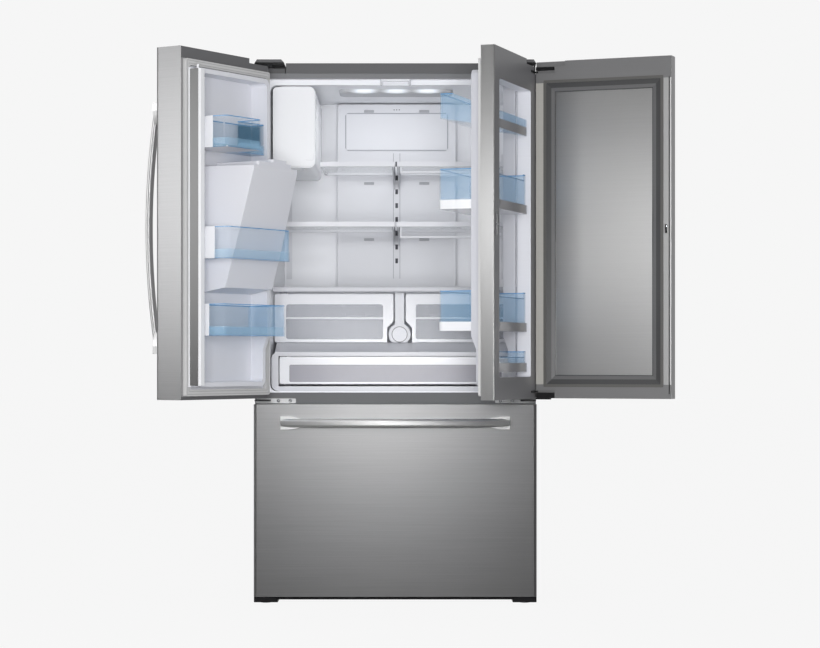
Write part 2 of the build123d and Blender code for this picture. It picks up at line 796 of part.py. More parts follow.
def wrap(x, face, back, corner):
    """Add a folded sheet shell round a door's front and two sides."""
    for grow, mode in ((0, Mode.ADD), (1, Mode.SUBTRACT)):
        low, high = x[0] + grow, x[1] - grow
        with BuildSketch(Plane.XY.offset(door_low)) as plan:
            with BuildLine():
                Polyline(
                    (low, back + grow),
                    (low, face + grow),
                    (high, face + grow),
                    (high, back + grow),
                    close=True,
                )
            make_face()
            fillet(plan.vertices().group_by(Axis.Y)[0], corner - grow)
        extrude(plan.sketch, amount=door_high - door_low, mode=mode)


def core(x, face, back, z, corner):
    """Add the solid that fills a sheet shell, its front edges rounded to match."""
    with BuildSketch(Plane.XY.offset(z[0])) as plan:
        with BuildLine():
            Polyline((x[0], back), (x[0], face), (x[1], face), (x[1], back), close=True)
        make_face()
        fillet(plan.vertices().group_by(Axis.Y)[0], corner)
    extrude(plan.sketch, amount=z[1] - z[0])


def dyke(side, depth):
    """Add the raised ring inside a door, shallower beside the pantry, with its pocket."""
    outer = sorted((side * dyke_outer, side * dyke_meeting))
    for grow, start, corner, mode in (
        (0, -door_gap, 24, Mode.ADD),
        (dyke_wall, -30, 14, Mode.SUBTRACT),
    ):
        reach = 40 * (grow > 0)
        near, far = outer[0] + grow, outer[1] - grow
        with BuildPart(mode=Mode.PRIVATE) as block:
            slab((near, far), (start, depth + reach), (dyke_low + grow, dyke_high - grow), corner, "Y")
            profile(
                (
                    (start, dyke_low + grow),
                    (dyke_shallow + reach, dyke_low + grow),
                    (dyke_shallow + reach, dyke_step_low),
                    (depth + reach, dyke_step_high),
                    (depth + reach, dyke_high - grow),
                    (start, dyke_high - grow),
                ),
                Plane.YZ.offset(near),
                far - near,
                mode=Mode.INTERSECT,
            )
        add(block.part, mode=mode)


def bin_tray(x, y, low, high):
    """Add a door bin: a clear tray whose base stands proud of its ends and front."""
    tray(x, y, (low, high), 3, 14)
    with BuildPart(mode=Mode.PRIVATE) as band:
        slab((x[0] - 1.4, x[1] + 1.4), (y[0] - 30, y[1] + 1.4), (low, low + base_band), 15.4)
        slab((x[0] - 5, x[1] + 5), (y[0] - 40, y[0]), (low - 1, low + base_band + 1), mode=Mode.SUBTRACT)
        slab(
            (x[0] + 1.5, x[1] - 1.5),
            (y[0] + 1.5, y[1] - 1.5),
            (low - 1, low + base_band + 1),
            12.5,
            mode=Mode.SUBTRACT,
        )
    add(band.part)


with BuildPart() as left_door_skin:
    wrap(left_x, door_front, -door_gap, 10)
    hinge_notch(-1)
    slab(recess_x, (-200, -50), (1010, panel_high), mode=Mode.SUBTRACT)
write(left_door_skin, "left_door_skin", left_swing)

inside_left = (-door_side + 1, -door_meeting - 1)
with BuildPart() as left_door_caps:
    core(inside_left, door_front + 1, -door_gap, (cap_lip, door_high - 1), 9)
    core(inside_left, door_front + 1, -door_gap, (door_low, 665), 9)
    hinge_notch(-1)
    pin_holes(-1, pin_x, pin_y)
write(left_door_caps, "left_door_caps", left_swing)

with BuildPart() as left_door_liner:
    core(inside_left, door_front + 1, -door_gap, (665, cap_lip), 9)
    dyke(-1, door_dyke)
    # duct housing that brings ice down to the dispenser, and its chute mouth
    profile(
        ((-31, 985), (54, 1000), (117, 1232), (150, 1362), (150, 1374), (-31, 1374)),
        Plane.YZ.offset(-384),
        262,
    )
    profile(
        ((-110, -31), (-110, 160), (-156, 160), (-122, -31)),
        Plane.XY.offset(984),
        391,
        mode=Mode.SUBTRACT,
    )
    slab((-380, -200), (-31, 133), (1372, 1390), 8)
    slab((-372, -290), (50, 122), (1380, 1402), 10)
    slab((-366, -296), (56, 116), (1340, 1410), 6, mode=Mode.SUBTRACT)
    slab(recess_x, (-200, -16), (1010, 1372), mode=Mode.SUBTRACT)
    slab(recess_x, (-200, -60), (1370, panel_high), mode=Mode.SUBTRACT)
    pin_holes(-1, pin_x, pin_y)
    # brackets that hold the flap's pivot pins
    for low in (flap_low - 3.8, flap_high + 0.4):
        slab((-dyke_meeting - 20, -20), (0, 11), (low, low + 3.4))
        rod((flap_pivot_x, flap_pivot_y, low - 1), flap_pin + clearance, 6, mode=Mode.SUBTRACT)
write(left_door_liner, "left_door_liner", left_swing)

with BuildPart() as left_gasket:
    ring((-pin_x + 0.6, -13), (667, 1696), (-door_gap, gasket_face), gasket_width, 6)
write(left_gasket, "left_gasket", left_swing)

with BuildPart() as left_bins:
    for across, depth, low, high, hook in (
        ((-240, -60), 119, 1425, 1521, 66),
        ((-384, -60), 126, 1087, 1184, 73),
        ((-384, -60), 108, 852, 949, 52),
    ):
        bin_tray(across, (-29, depth), low, high)
        # white hook plate on the end beside the flap
        slab((-61, -58.4), (-29, hook), (low, high), 3, "X")
    # shallow end of the top bin, in front of the ice room, opened into the deep part
    bin_tray((-381, -236), (-29, 30), 1425, 1521)
    slab((-245, -230), (-26, 27), (1428, 1530), mode=Mode.SUBTRACT)
    # the middle bin clears the duct housing behind it
    profile(
        ((-60, 960), (57, 997), (120, 1231), (153, 1361), (-60, 1361)),
        Plane.YZ.offset(-400),
        281,
        mode=Mode.SUBTRACT,
    )
write(left_bins, "left_bins", left_swing)


with BuildPart() as left_handle:
    with Locations(Location((-32, door_front, 1181), (0, 90, 0))):
        add(grip(door_grip, 24))
write(left_handle, "left_handle", left_swing)

# dispenser housing: a deep recess with a tray below and a plain control panel above
with BuildPart() as dispenser_housing:
    slab(recess_x, (door_front - 2, -60.2), (1010, panel_high), 6, "Y")
    slab(recess_x, (-80, -16.2), (1010, 1371.8))
    slab((-321, -133), (-200, -24), (recess_low, recess_high), 12, "Y", Mode.SUBTRACT)
    rod((-227, -62, 1330), 16, 40)
    slab((-311, -143), (-104, -36), (recess_low - 1, recess_low + 5), 8)
    with Locations((-227, -70, recess_low + 4)):
        with GridLocations(14, 1, 11, 1):
            Box(6, 52, 6, mode=Mode.SUBTRACT)
write(dispenser_housing, "dispenser_housing", left_swing)

with BuildPart() as dispenser_lever:
    rod((-245, -34, 1318), 3.5, 36, "X")
    profile(
        ((-36, 1318), (-32, 1318), (-34, 1240), (-44, 1190), (-48, 1192), (-38, 1242)),
        Plane.YZ.offset(-239),
        24,
    )
write(dispenser_lever, "dispenser_lever", left_swing)

# mullion flap: a hinged post that closes the gap between the shut doors
with BuildPart() as mullion_flap:
    slab(
        (flap_pivot_x + 5 - flap_thick, flap_pivot_x + 5),
        (flap_pivot_y - 5, flap_pivot_y - 5 + flap_wide),
        (flap_low, flap_high),
        3,
    )
    # steel strip on its outer face, cam pin on top, and a pivot pin at each end
    slab(
        (flap_pivot_x + 4, flap_pivot_x + 5.6),
        (flap_pivot_y + 3, flap_pivot_y + 34.5),
        (flap_low + 3, flap_high - 3),
    )
    rod((flap_pivot_x - 6, flap_pivot_y + 25, flap_high - 1), 4, 14)
    rod((flap_pivot_x, flap_pivot_y, flap_low - 3.4), flap_pin, flap_high - flap_low + 6.8)
write(mullion_flap, "mullion_flap", left_swing)

# ================= right inner door =================
inner_x = (door_meeting, door_side)
latch_x = (14, 26)
with BuildPart() as inner_door_frame:
    core(inner_x, inner_front, -door_gap, (door_low, door_high), 4)
    slab((52, 402), (-100, 0), (724, 1636), 8, "Y", Mode.SUBTRACT)
    slab((latch_x[0] - 0.5, latch_x[1] + 0.5), (-70, -50), (1154.5, 1225.5), 6.4, "Y", Mode.SUBTRACT)
    hinge_notch(1)
    pin_holes(1, pin_x, pin_y + 0.6)
    # hinge leaves that reach round the outer door's pins
    for low, high in (upper_leaf, lower_leaf):
        slab((404, outer_pin_x + 1), (-57.6, -55.9), (low, high))
        slab((outer_pin_x - 3, outer_pin_x + 3), (outer_pin_y, inner_front + 0.1), (low, high))
        rod((outer_pin_x, outer_pin_y, low), knuckle, high - low)
        rod((outer_pin_x, outer_pin_y, low - 1), outer_pin_radius + clearance, 9, mode=Mode.SUBTRACT)
write(inner_door_frame, "inner_door_frame", inner_swing)

with BuildPart() as inner_door_liner:
    slab((26, 424), (-door_gap, -9), (687, 1675), 16, "Y")
    dyke(1, door_dyke)
    slab((52, 402), (-100, -8), (724, 1636), 8, "Y", Mode.SUBTRACT)
    slab((0, 500), (-100, -door_gap), (600, 1800), mode=Mode.SUBTRACT)
write(inner_door_liner, "inner_door_liner", inner_swing)

with BuildPart() as inner_gasket:
    ring((13, pin_x - 0.6), (667, 1696), (-door_gap, gasket_face), 12, 6)
write(inner_gasket, "inner_gasket", inner_swing)

with BuildPart() as inner_bins:
    for low, high, depth in ((1242, 1366, 142), (867, 991, 142), (740, 805, 14)):
        bin_tray((60, 384), (-46, depth), low, high)
        # lower middle of the wall that shows in the door's window
        slab((92, 352), (-60, -40), (high - 18, high + 1), mode=Mode.SUBTRACT)
    # the top bin's floor and ends slope, so that bottles lie against the door
    for wall, mode in ((0, Mode.ADD), (3, Mode.SUBTRACT)):
        profile(
            (
                (-46 + wall, 1490 + wall),
                (136 - wall, 1520 + wall),
                (136 - wall, 1598 + wall),
                (100, 1598 + wall),
                (-46 + wall, 1542 + wall),
            ),
            Plane.YZ.offset(60 + wall),
            324 - 2 * wall,
            mode=mode,
        )
write(inner_bins, "inner_bins", inner_swing)

with BuildPart() as door_latch:
    slab(latch_x, (inner_front - 1.6, -53), (1155, 1225), 5.9, "Y")
    rod((20, inner_front - 6, 1190), 3, 6, "Y")
write(door_latch, "door_latch", inner_swing)

# ================= right outer door =================
def hinge_pocket():
    """Cut the outer door's back corner clear of both hinges and of the cabinet's arm and pins."""
    slab((door_side - notch_reach, 460), (-71, -50), (notch_top, 1800), mode=Mode.SUBTRACT)
    slab((387, 460), (-67, -50), (upper_leaf[0] - 1, notch_top + 0.1), mode=Mode.SUBTRACT)
    slab((387, 460), (-67, -50), (door_low - 1, lower_leaf[1] + 1), mode=Mode.SUBTRACT)
    profile(
        ((door_side - 3, outer_back), (door_side, outer_back - 3), (door_side + 1, outer_back + 1)),
        Plane.XY.offset(door_low - 1),
        door_high - door_low + 2,
        mode=Mode.SUBTRACT,
    )


with BuildPart() as outer_door_skin:
    wrap(inner_x, -110, outer_back, 10)
    hinge_pocket()
write(outer_door_skin, "outer_door_skin", outer_swing, inner_swing)

inside_right = (door_meeting + 1, door_side - 1)
bevel = 75
with BuildPart() as outer_door_panel:
    core(inside_right, -109, outer_back, (door_low, door_high), 9)
    # bevelled frame down to a sunk panel
    slab((37, 415), (outer_back - 8, outer_back), (700, 1664), along="Y", mode=Mode.SUBTRACT, taper=bevel)
    slab((67, 385), (outer_back - 10, 0), (730, 1634), 8, "Y", Mode.SUBTRACT)
    # catch of the latch, and the groove beside the free edge
    slab((16, 24), (outer_back - 8, 0), (1176, 1204), 2, "Y", Mode.SUBTRACT)
    slab((8, 10), (outer_back - 3, 0), (670, 1667), along="Y", mode=Mode.SUBTRACT)
    hinge_pocket()
    # hinge arms in the two pockets, each with its pin, and a foot plate under the lower one
    for low, high in (upper_arm, lower_arm):
        slab((390, outer_pin_x + 2.6), (-67.1, -59.4), (low, high))
    rod((outer_pin_x, outer_pin_y, upper_leaf[0] - 4), outer_pin_radius, 24)
    rod((outer_pin_x, outer_pin_y, lower_arm[0] + 1), outer_pin_radius, 26)
    slab((404, 451), (-76, -59.5), (650.8, 656))
write(outer_door_panel, "outer_door_panel", outer_swing, inner_swing)

with BuildPart() as outer_gasket:
    ring((28, 424), (691, 1673), (outer_back, inner_front - 0.4), 9, 4)
write(outer_gasket, "outer_gasket", outer_swing, inner_swing)

with BuildPart() as right_handle:
    with Locations(Location((32, -110, 1181), (0, 90, 0))):
        add(grip(door_grip, 24))
write(right_handle, "right_handle", outer_swing, inner_swing)
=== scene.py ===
"""Looks of a french door refrigerator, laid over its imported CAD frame."""

import json
import math

import bmesh
import bpy
from mathutils import Matrix, Vector


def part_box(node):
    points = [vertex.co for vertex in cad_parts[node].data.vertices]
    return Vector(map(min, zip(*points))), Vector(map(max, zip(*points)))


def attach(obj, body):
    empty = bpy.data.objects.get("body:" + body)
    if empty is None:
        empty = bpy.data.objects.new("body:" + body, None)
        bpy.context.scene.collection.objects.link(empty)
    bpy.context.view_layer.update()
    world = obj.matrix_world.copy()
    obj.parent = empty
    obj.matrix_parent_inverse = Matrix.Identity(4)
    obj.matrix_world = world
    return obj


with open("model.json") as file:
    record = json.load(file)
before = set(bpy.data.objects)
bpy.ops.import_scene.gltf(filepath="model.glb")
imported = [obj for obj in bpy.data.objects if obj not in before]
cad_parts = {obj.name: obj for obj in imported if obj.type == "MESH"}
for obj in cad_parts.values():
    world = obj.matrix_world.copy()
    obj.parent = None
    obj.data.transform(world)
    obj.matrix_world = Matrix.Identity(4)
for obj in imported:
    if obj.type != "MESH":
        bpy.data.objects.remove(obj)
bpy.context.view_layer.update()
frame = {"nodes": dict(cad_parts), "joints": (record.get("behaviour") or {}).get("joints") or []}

bl_info = {
    "name": "Refrigerator looks",
    "version": (1, 0, 0),
    "blender": (4, 5, 0),
    "location": "View3D > Sidebar > Refrigerator",
    "description": "Finishes, small parts and studio for a french door refrigerator",
    "category": "Object",
}

MM = 0.001
joints = {joint["name"]: joint for joint in frame["joints"]}

# Places on the shut refrigerator, in millimetres: x to the right, y to the back, z up.
# Rectangles are (x range, z range); boxes are (x range, y range, z range).
LEFT_SEAL = (-446, -13), (667, 1696)
INNER_SEAL = (13, 446), (667, 1696)
OUTER_SEAL = (28, 424), (691, 1673)
FREEZER_SEAL = (-440, 440), (50, 608)
PANEL_FIELD = (67, 385), (730, 1634)  # sunk field of the outer door's inner face
PANEL_FRAME = (37, 415), (700, 1664)  # outer edge of the bevel round it
BACK_PLATE = (-179, 179), (1504, 1636)
LEFT_BINS = (66, 1425, 1521), (73, 1087, 1184), (52, 852, 949)  # reach to the back, underside, top
LEFT_BIN_SPAN = (-400, -40), (-40, 140)
INNER_BINS = (1242, 1366), (867, 991), (740, 805)  # underside and top of the level bins
INNER_BIN_SPAN = (40, 400), (-60, 160)
TILTED_BIN_TOP = 1598
LAMP_SPOTS = (-104, 150, 1661), (0, 150, 1661), (104, 150, 1661)
FILTER_JOINT = 25.4  # radius of the joint round the filter's knob
SLOT_FACE = 556.0  # front of the dark inserts, 0.4 mm ahead of the middle ladder's face
VENT_LEVELS = 1642, 1391, 1196
VENT_SIDE = 96  # from the middle to the middle of each vent


def linear(code):
    """Linear RGBA of an sRGB hex colour."""
    value = int(code.lstrip("#"), 16)
    channels = [(value >> shift & 255) / 255 for shift in (16, 8, 0)]
    return (*[c / 12.92 if c <= 0.04045 else ((c + 0.055) / 1.055) ** 2.4 for c in channels], 1.0)


# ---------------------------------------------------------------- places read from the frame


def opened(joint):
    """Matrix that swings a door from shut, its joint's upper limit, to rest."""
    facts = joints[joint]
    pivot = Vector(facts["pos_m"])
    turn = Matrix.Rotation(-math.radians(facts["range_deg"][1]), 4, Vector(facts["axis"]))
    return Matrix.Translation(pivot) @ turn @ Matrix.Translation(-pivot)


FROM_SHUT = {
    "cabinet": Matrix.Identity(4),
    "left_door": opened("left_door_swing"),
    "inner_door": opened("inner_door_swing"),
    "outer_door": opened("outer_door_swing") @ opened("inner_door_swing"),
}


def filter_axis():
    """Point on the filter's axis, in metres, with its depth dropped."""
    low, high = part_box("water_filter")
    return ((low[0] + high[0]) / 2, 0.0, (low[2] + high[2]) / 2)


def machine_back():
    """Outer face of the machine room cover, in millimetres, less the screws' seat."""
    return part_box("machine_cover")[1][1] / MM - 0.1


# ---------------------------------------------------------------- material helpers


def add_node(tree, kind, settings=None, **inputs):
    """Add a node, set its properties, then set or link its inputs by name, or by number as i0."""
    node = tree.nodes.new(kind)
    for key, value in (settings or {}).items():
        setattr(node, key, value)
    for key, value in inputs.items():
        numbered = key[0] == "i" and key[1:].isdigit()
        socket = node.inputs[int(key[1:]) if numbered else key.replace("_", " ")]
        if isinstance(value, bpy.types.NodeSocket):
            tree.links.new(value, socket)
        else:
            socket.default_value = value
    return node


def start(name, **shader):
    """A new material with a principled shader; returns it, its tree and the shader."""
    material = bpy.data.materials.new(name)
    material.use_nodes = True
    tree = material.node_tree
    tree.nodes.clear()
    surface = add_node(tree, "ShaderNodeBsdfPrincipled", None, **shader)
    add_node(tree, "ShaderNodeOutputMaterial", None, Surface=surface.outputs["BSDF"])
    return material, tree, surface


def place(tree, body="cabinet"):
    """Object coordinates in metres, turned back to where the body's door is shut."""
    coords = add_node(tree, "ShaderNodeTexCoord").outputs["Object"]
    if body == "cabinet":
        return coords
    matrix = FROM_SHUT[body].inverted()
    return add_node(
        tree, "ShaderNodeMapping", {"vector_type": "POINT"},
        Vector=coords, Location=matrix.to_translation(), Rotation=matrix.to_euler(),
    ).outputs[0]


def region(tree, where, x=None, y=None, z=None):
    """1 inside a box given by its ranges in millimetres, 0 outside it."""
    axes = add_node(tree, "ShaderNodeSeparateXYZ", None, Vector=where)
    mask = None
    for axis, limits in zip("XYZ", (x, y, z)):
        if limits is None:
            continue
        low, high = (limit * MM for limit in limits)
        side = add_node(
            tree, "ShaderNodeMath", {"operation": "COMPARE"},
            i0=axes.outputs[axis], i1=(low + high) / 2, i2=(high - low) / 2,
        ).outputs[0]
        mask = side if mask is None else add_node(
            tree, "ShaderNodeMath", {"operation": "MULTIPLY"}, i0=mask, i1=side
        ).outputs[0]
    return mask


def rim(tree, where, x, z):
    """Distance in millimetres outside a rectangle in a door's plane, negative inside it."""
    axes = add_node(tree, "ShaderNodeSeparateXYZ", None, Vector=where)
    gaps = []
    for axis, (low, high) in (("X", x), ("Z", z)):
        off = add_node(
            tree, "ShaderNodeMath", {"operation": "SUBTRACT"},
            i0=axes.outputs[axis], i1=(low + high) / 2 * MM,
        ).outputs[0]
        far = add_node(tree, "ShaderNodeMath", {"operation": "ABSOLUTE"}, i0=off).outputs[0]
        gaps.append(add_node(
            tree, "ShaderNodeMath", {"operation": "SUBTRACT"}, i0=far, i1=(high - low) / 2 * MM
        ).outputs[0])
    gap = add_node(
        tree, "ShaderNodeMath", {"operation": "MAXIMUM"}, i0=gaps[0], i1=gaps[1]
    ).outputs[0]
    return add_node(
        tree, "ShaderNodeMath", {"operation": "MULTIPLY"}, i0=gap, i1=1 / MM
    ).outputs[0]


def band(tree, where, rectangle, middle, half):
    """1 in a band round a rectangle, given by its middle line, as in rim, and its half width."""
    return add_node(
        tree, "ShaderNodeMath", {"operation": "COMPARE"},
        i0=rim(tree, where, *rectangle), i1=middle, i2=half,
    ).outputs[0]


def paint(tree, base, *coats):
    """Lay tones over a base tone, each where its mask is 1."""
    tone = base
    for mask, coat in coats:
        tone = add_node(
            tree, "ShaderNodeMix", {"data_type": "RGBA"}, i0=mask, i6=tone, i7=coat
        ).outputs[2]
    return tone


def grain(tree, surface, where, size, tone, rough, spread, bump):
    """Vary tone, roughness and height with one noise; size and bump are in millimetres."""
    scaled = add_node(
        tree, "ShaderNodeMapping", None, Vector=where, Scale=[1 / (s * MM) for s in size]
    )
    noise = add_node(
        tree, "ShaderNodeTexNoise", None, Vector=scaled.outputs[0], Scale=1.0, Detail=3.0
    )
    height = noise.outputs["Fac"]
    shade = add_node(
        tree, "ShaderNodeMapRange", None, Value=height, To_Min=1 - spread, To_Max=1 + spread
    )
    flat = tone if isinstance(tone, bpy.types.NodeSocket) else tone[:3]
    tinted = add_node(
        tree, "ShaderNodeVectorMath", {"operation": "SCALE"}, i0=flat, Scale=shade.outputs[0]
    )
    tree.links.new(tinted.outputs[0], surface.inputs["Base Color"])
    gloss = add_node(
        tree, "ShaderNodeMapRange", None, Value=height, To_Min=rough[0], To_Max=rough[1]
    )
    tree.links.new(gloss.outputs[0], surface.inputs["Roughness"])
    relief = add_node(
        tree, "ShaderNodeBump", None, Strength=1.0, Distance=bump * MM, Height=height
    )
    tree.links.new(relief.outputs[0], surface.inputs["Normal"])


def dress(material, *items):
    """Give CAD nodes or pieces a material."""
    for item in items:
        piece = frame["nodes"][item] if isinstance(item, str) else item
        piece.data.materials.clear()
        piece.data.materials.append(material)


# ---------------------------------------------------------------- finishes

BRUSH = (240, 240, 1.6)  # run and height of a brushed streak; real ones are finer
STYRENE_IOR = 1.57
GLASS_IOR = 1.5
MOULD_WAVES = (30, 30, 30)  # slow waves left in a clear moulded wall


def brushed_stainless(name, body, tone):
    """Ferritic stainless sheet brushed level: long streaks that draw reflections out upright."""
    material, tree, surface = start(
        name, Metallic=1.0, Anisotropic=0.3, Anisotropic_Rotation=0.25
    )
    grain(
        tree, surface, place(tree, body), BRUSH, tone, (0.33, 0.4), spread=0.13, bump=0.003
    )
    tangent = add_node(tree, "ShaderNodeTangent", {"direction_type": "RADIAL", "axis": "Z"})
    tree.links.new(tangent.outputs[0], surface.inputs["Tangent"])
    return material


def moulded(name, tone, rough=(0.32, 0.42), grit=1.2, bump=0.01, spread=0.03, **shader):
    """Injection moulded plastic or coated sheet with a fine eroded texture."""
    material, tree, surface = start(name, **shader)
    grain(tree, surface, place(tree), (grit,) * 3, tone, rough, spread, bump)
    return material


def cast_metal(name, tone, rough, grit=2.0, bump=0.004, spread=0.05):
    """Plain metal sheet or rod with a faint mottle."""
    return moulded(name, tone, rough, grit, bump, spread, Metallic=1.0)


def see_through(tree, surface, face_on, edge_on, *coats):
    """Thin clear wall: more of it shows where it is seen edge-on, and more under each coat."""
    slant = add_node(tree, "ShaderNodeLayerWeight", None, Blend=0.35)
    cover = add_node(
        tree, "ShaderNodeMapRange", None,
        Value=slant.outputs["Facing"], To_Min=face_on, To_Max=edge_on,
    ).outputs[0]
    for mask, share in coats:
        cover = add_node(
            tree, "ShaderNodeMix", {"data_type": "FLOAT"}, i0=mask, i2=cover, i3=share
        ).outputs[0]
    tree.links.new(cover, surface.inputs["Alpha"])


def clear_wall(name, tone, face_on, edge_on, rough=0.1, ior=STYRENE_IOR):
    """Clear moulded styrene or glass: pale, glossy, darker along its edges."""
    material, tree, surface = start(name, IOR=ior)
    grain(
        tree, surface, place(tree), MOULD_WAVES, tone, (rough, rough + 0.04),
        spread=0.02, bump=0.02,
    )
    see_through(tree, surface, face_on, edge_on)
    return material


def drawer_styrene(name, cover, body_tone, frame_tone, frame_box):
    """Drawer with a solid white front frame moulded on to a clear tub."""
    material, tree, surface = start(name, IOR=STYRENE_IOR)
    where = place(tree)
    mask = region(tree, where, *frame_box)
    tone = paint(tree, body_tone, (mask, frame_tone))
    grain(tree, surface, where, MOULD_WAVES, tone, (0.14, 0.2), spread=0.01, bump=0.01)
    see_through(tree, surface, cover, 0.65, (mask, 1.0))
    return material


def bin_styrene(name, body, tone, rims, bases, ends, solids):
    """Blue-tinted clear bins: dark rims, milky bases and ends, solid white parts, and solid grey
    parts that are painted shade.
    """
    material, tree, surface = start(name, IOR=STYRENE_IOR)
    where = place(tree, body)
    marks = [
        (region(tree, where, *box), linear(code), share)
        for boxes, code, share in (
            (ends, "#9ccdf2", 0.2), (bases, "#a8d6f5", 0.24), (rims, "#6ba8da", 0.55)
        )
        for box in boxes
    ]
    marks += [(region(tree, where, *box), linear(code), 1.0) for code, box in solids]
    painted = paint(tree, tone, *((mask, shade) for mask, shade, share in marks))
    grain(tree, surface, where, MOULD_WAVES, painted, (0.1, 0.16), spread=0.01, bump=0.01)
    see_through(tree, surface, 0.04, 0.13, *((mask, share) for mask, shade, share in marks))
    return material


def door_seal(name, body, rectangle, width, tone):
    """Extruded vinyl seal: dull, with painted shade in two soft grooves between its lips."""
    material, tree, surface = start(name)
    where = place(tree, body)
    # painted shade for the grooves: the seal's own tone darkened
    groove_shade = [channel * 0.72 for channel in tone[:3]] + [1.0]
    shade = paint(
        tree, tone,
        *((band(tree, where, rectangle, -width * share, 1.1), groove_shade) for share in (0.28, 0.72)),
    )
    grain(tree, surface, where, (2, 2, 2), shade, (0.45, 0.6), spread=0.03, bump=0.02)
    return material


class FinishColours(bpy.types.PropertyGroup):
    """Colours of the refrigerator's finishes."""

    stainless: bpy.props.FloatVectorProperty(
        name="Stainless", description="Brushed door fronts", subtype="COLOR", size=4,
        default=linear("#b2b2b3"),
    )
    trim: bpy.props.FloatVectorProperty(
        name="Grey trim", description="Door caps and top covers", subtype="COLOR", size=4,
        default=linear("#626264"),
    )
    liner: bpy.props.FloatVectorProperty(
        name="Door liner", description="White sheet inside the doors", subtype="COLOR", size=4,
        default=linear("#dcdde3"),
    )
    bins: bpy.props.FloatVectorProperty(
        name="Door bins", description="Blue tint of the clear bins", subtype="COLOR", size=4,
        default=linear("#8fc8f0"),
    )


class FRIDGE_OT_steel(bpy.types.Operator):
    """Steel fronts, handles, rails and hidden metal"""

    bl_idname = "fridge.steel"
    bl_label = "Steel"

    def execute(self, context):
        tone = context.scene.fridge_colours
        for body, node in (
            ("left_door", "left_door_skin"),
            ("outer_door", "outer_door_skin"),
            ("cabinet", "freezer_door_skin"),
        ):
            dress(brushed_stainless(f"brushed_stainless_{body}", body, tone.stainless), node)

        # satin ground bar: one soft highlight along it and no streaks
        dress(
            cast_metal(
                "satin_stainless_bar", linear("#f0f0f0"), (0.36, 0.4),
                grit=12, bump=0.0, spread=0.02,
            ),
            "left_handle", "right_handle", "freezer_handle",
        )
        # textured paint with metal flake: grey, half metallic, with no clear reflections
        dress(
            moulded("textured_case_paint", linear("#939497"), (0.42, 0.52), Metallic=0.5),
            "outer_case",
        )
        dress(
            moulded("textured_rail_paint", linear("#747577"), (0.42, 0.52), Metallic=0.5),
            "centre_rail",
        )
        # hot dipped zinc: dull light grey with broad flowers
        dress(
            cast_metal("zinc_coated_sheet", linear("#a6a8aa"), (0.35, 0.5), grit=12, spread=0.12),
            "rear_panel", "machine_cover", "base_plate", "freezer_slides",
        )
        # rolled aluminium fins: pale and softly shiny
        dress(cast_metal("bare_aluminium_fins", linear("#c3c5c7"), (0.3, 0.4)), "evaporators")
        # chrome over cast zinc: bright, with sharp reflections
        dress(cast_metal("chrome_plated_zinc", linear("#d6d7d9"), (0.06, 0.1)), "door_latch")
        # stoved enamel: near black and glossy
        dress(moulded("black_enamel", linear("#17181a"), (0.2, 0.3)), "compressor", "condenser")

        # powder coat: smooth white, with painted shade along the edges of the middle strip
        material, tree, surface = start("white_powder_coat")
        where = place(tree)
        edges = [
            region(tree, where, x=side, y=(SLOT_FACE, 560))
            for side in ((-12.5, -10.4), (10.4, 12.5))
        ]
        shade = paint(tree, linear("#dcdde2"), *((edge, linear("#9c9ea5")) for edge in edges))
        grain(tree, surface, where, (2, 2, 2), shade, (0.3, 0.38), spread=0.02, bump=0.01)
        dress(material, "shelf_ladders")

        # zinc plate and black coat: the hinge arms are black, the plates on the middle rail and
        # the pins are bright
        material, tree, surface = start("zinc_and_black_hinge")
        where = place(tree)
        bright = region(tree, where, z=(636, 673), y=(-64, 1))
        black = region(tree, where, z=(644.5, 650.5), y=(-70, -3.5))
        coat = linear("#232325")
        shade = paint(tree, coat, (bright, linear("#c4c5c6")), (black, coat))
        grain(tree, surface, where, (2, 2, 2), shade, (0.28, 0.4), spread=0.05, bump=0.004)
        bare = add_node(
            tree, "ShaderNodeMath", {"operation": "SUBTRACT", "use_clamp": True},
            i0=bright, i1=black,
        )
        tree.links.new(bare.outputs[0], surface.inputs["Metallic"])
        dress(material, "hinge_brackets")
        return {"FINISHED"}


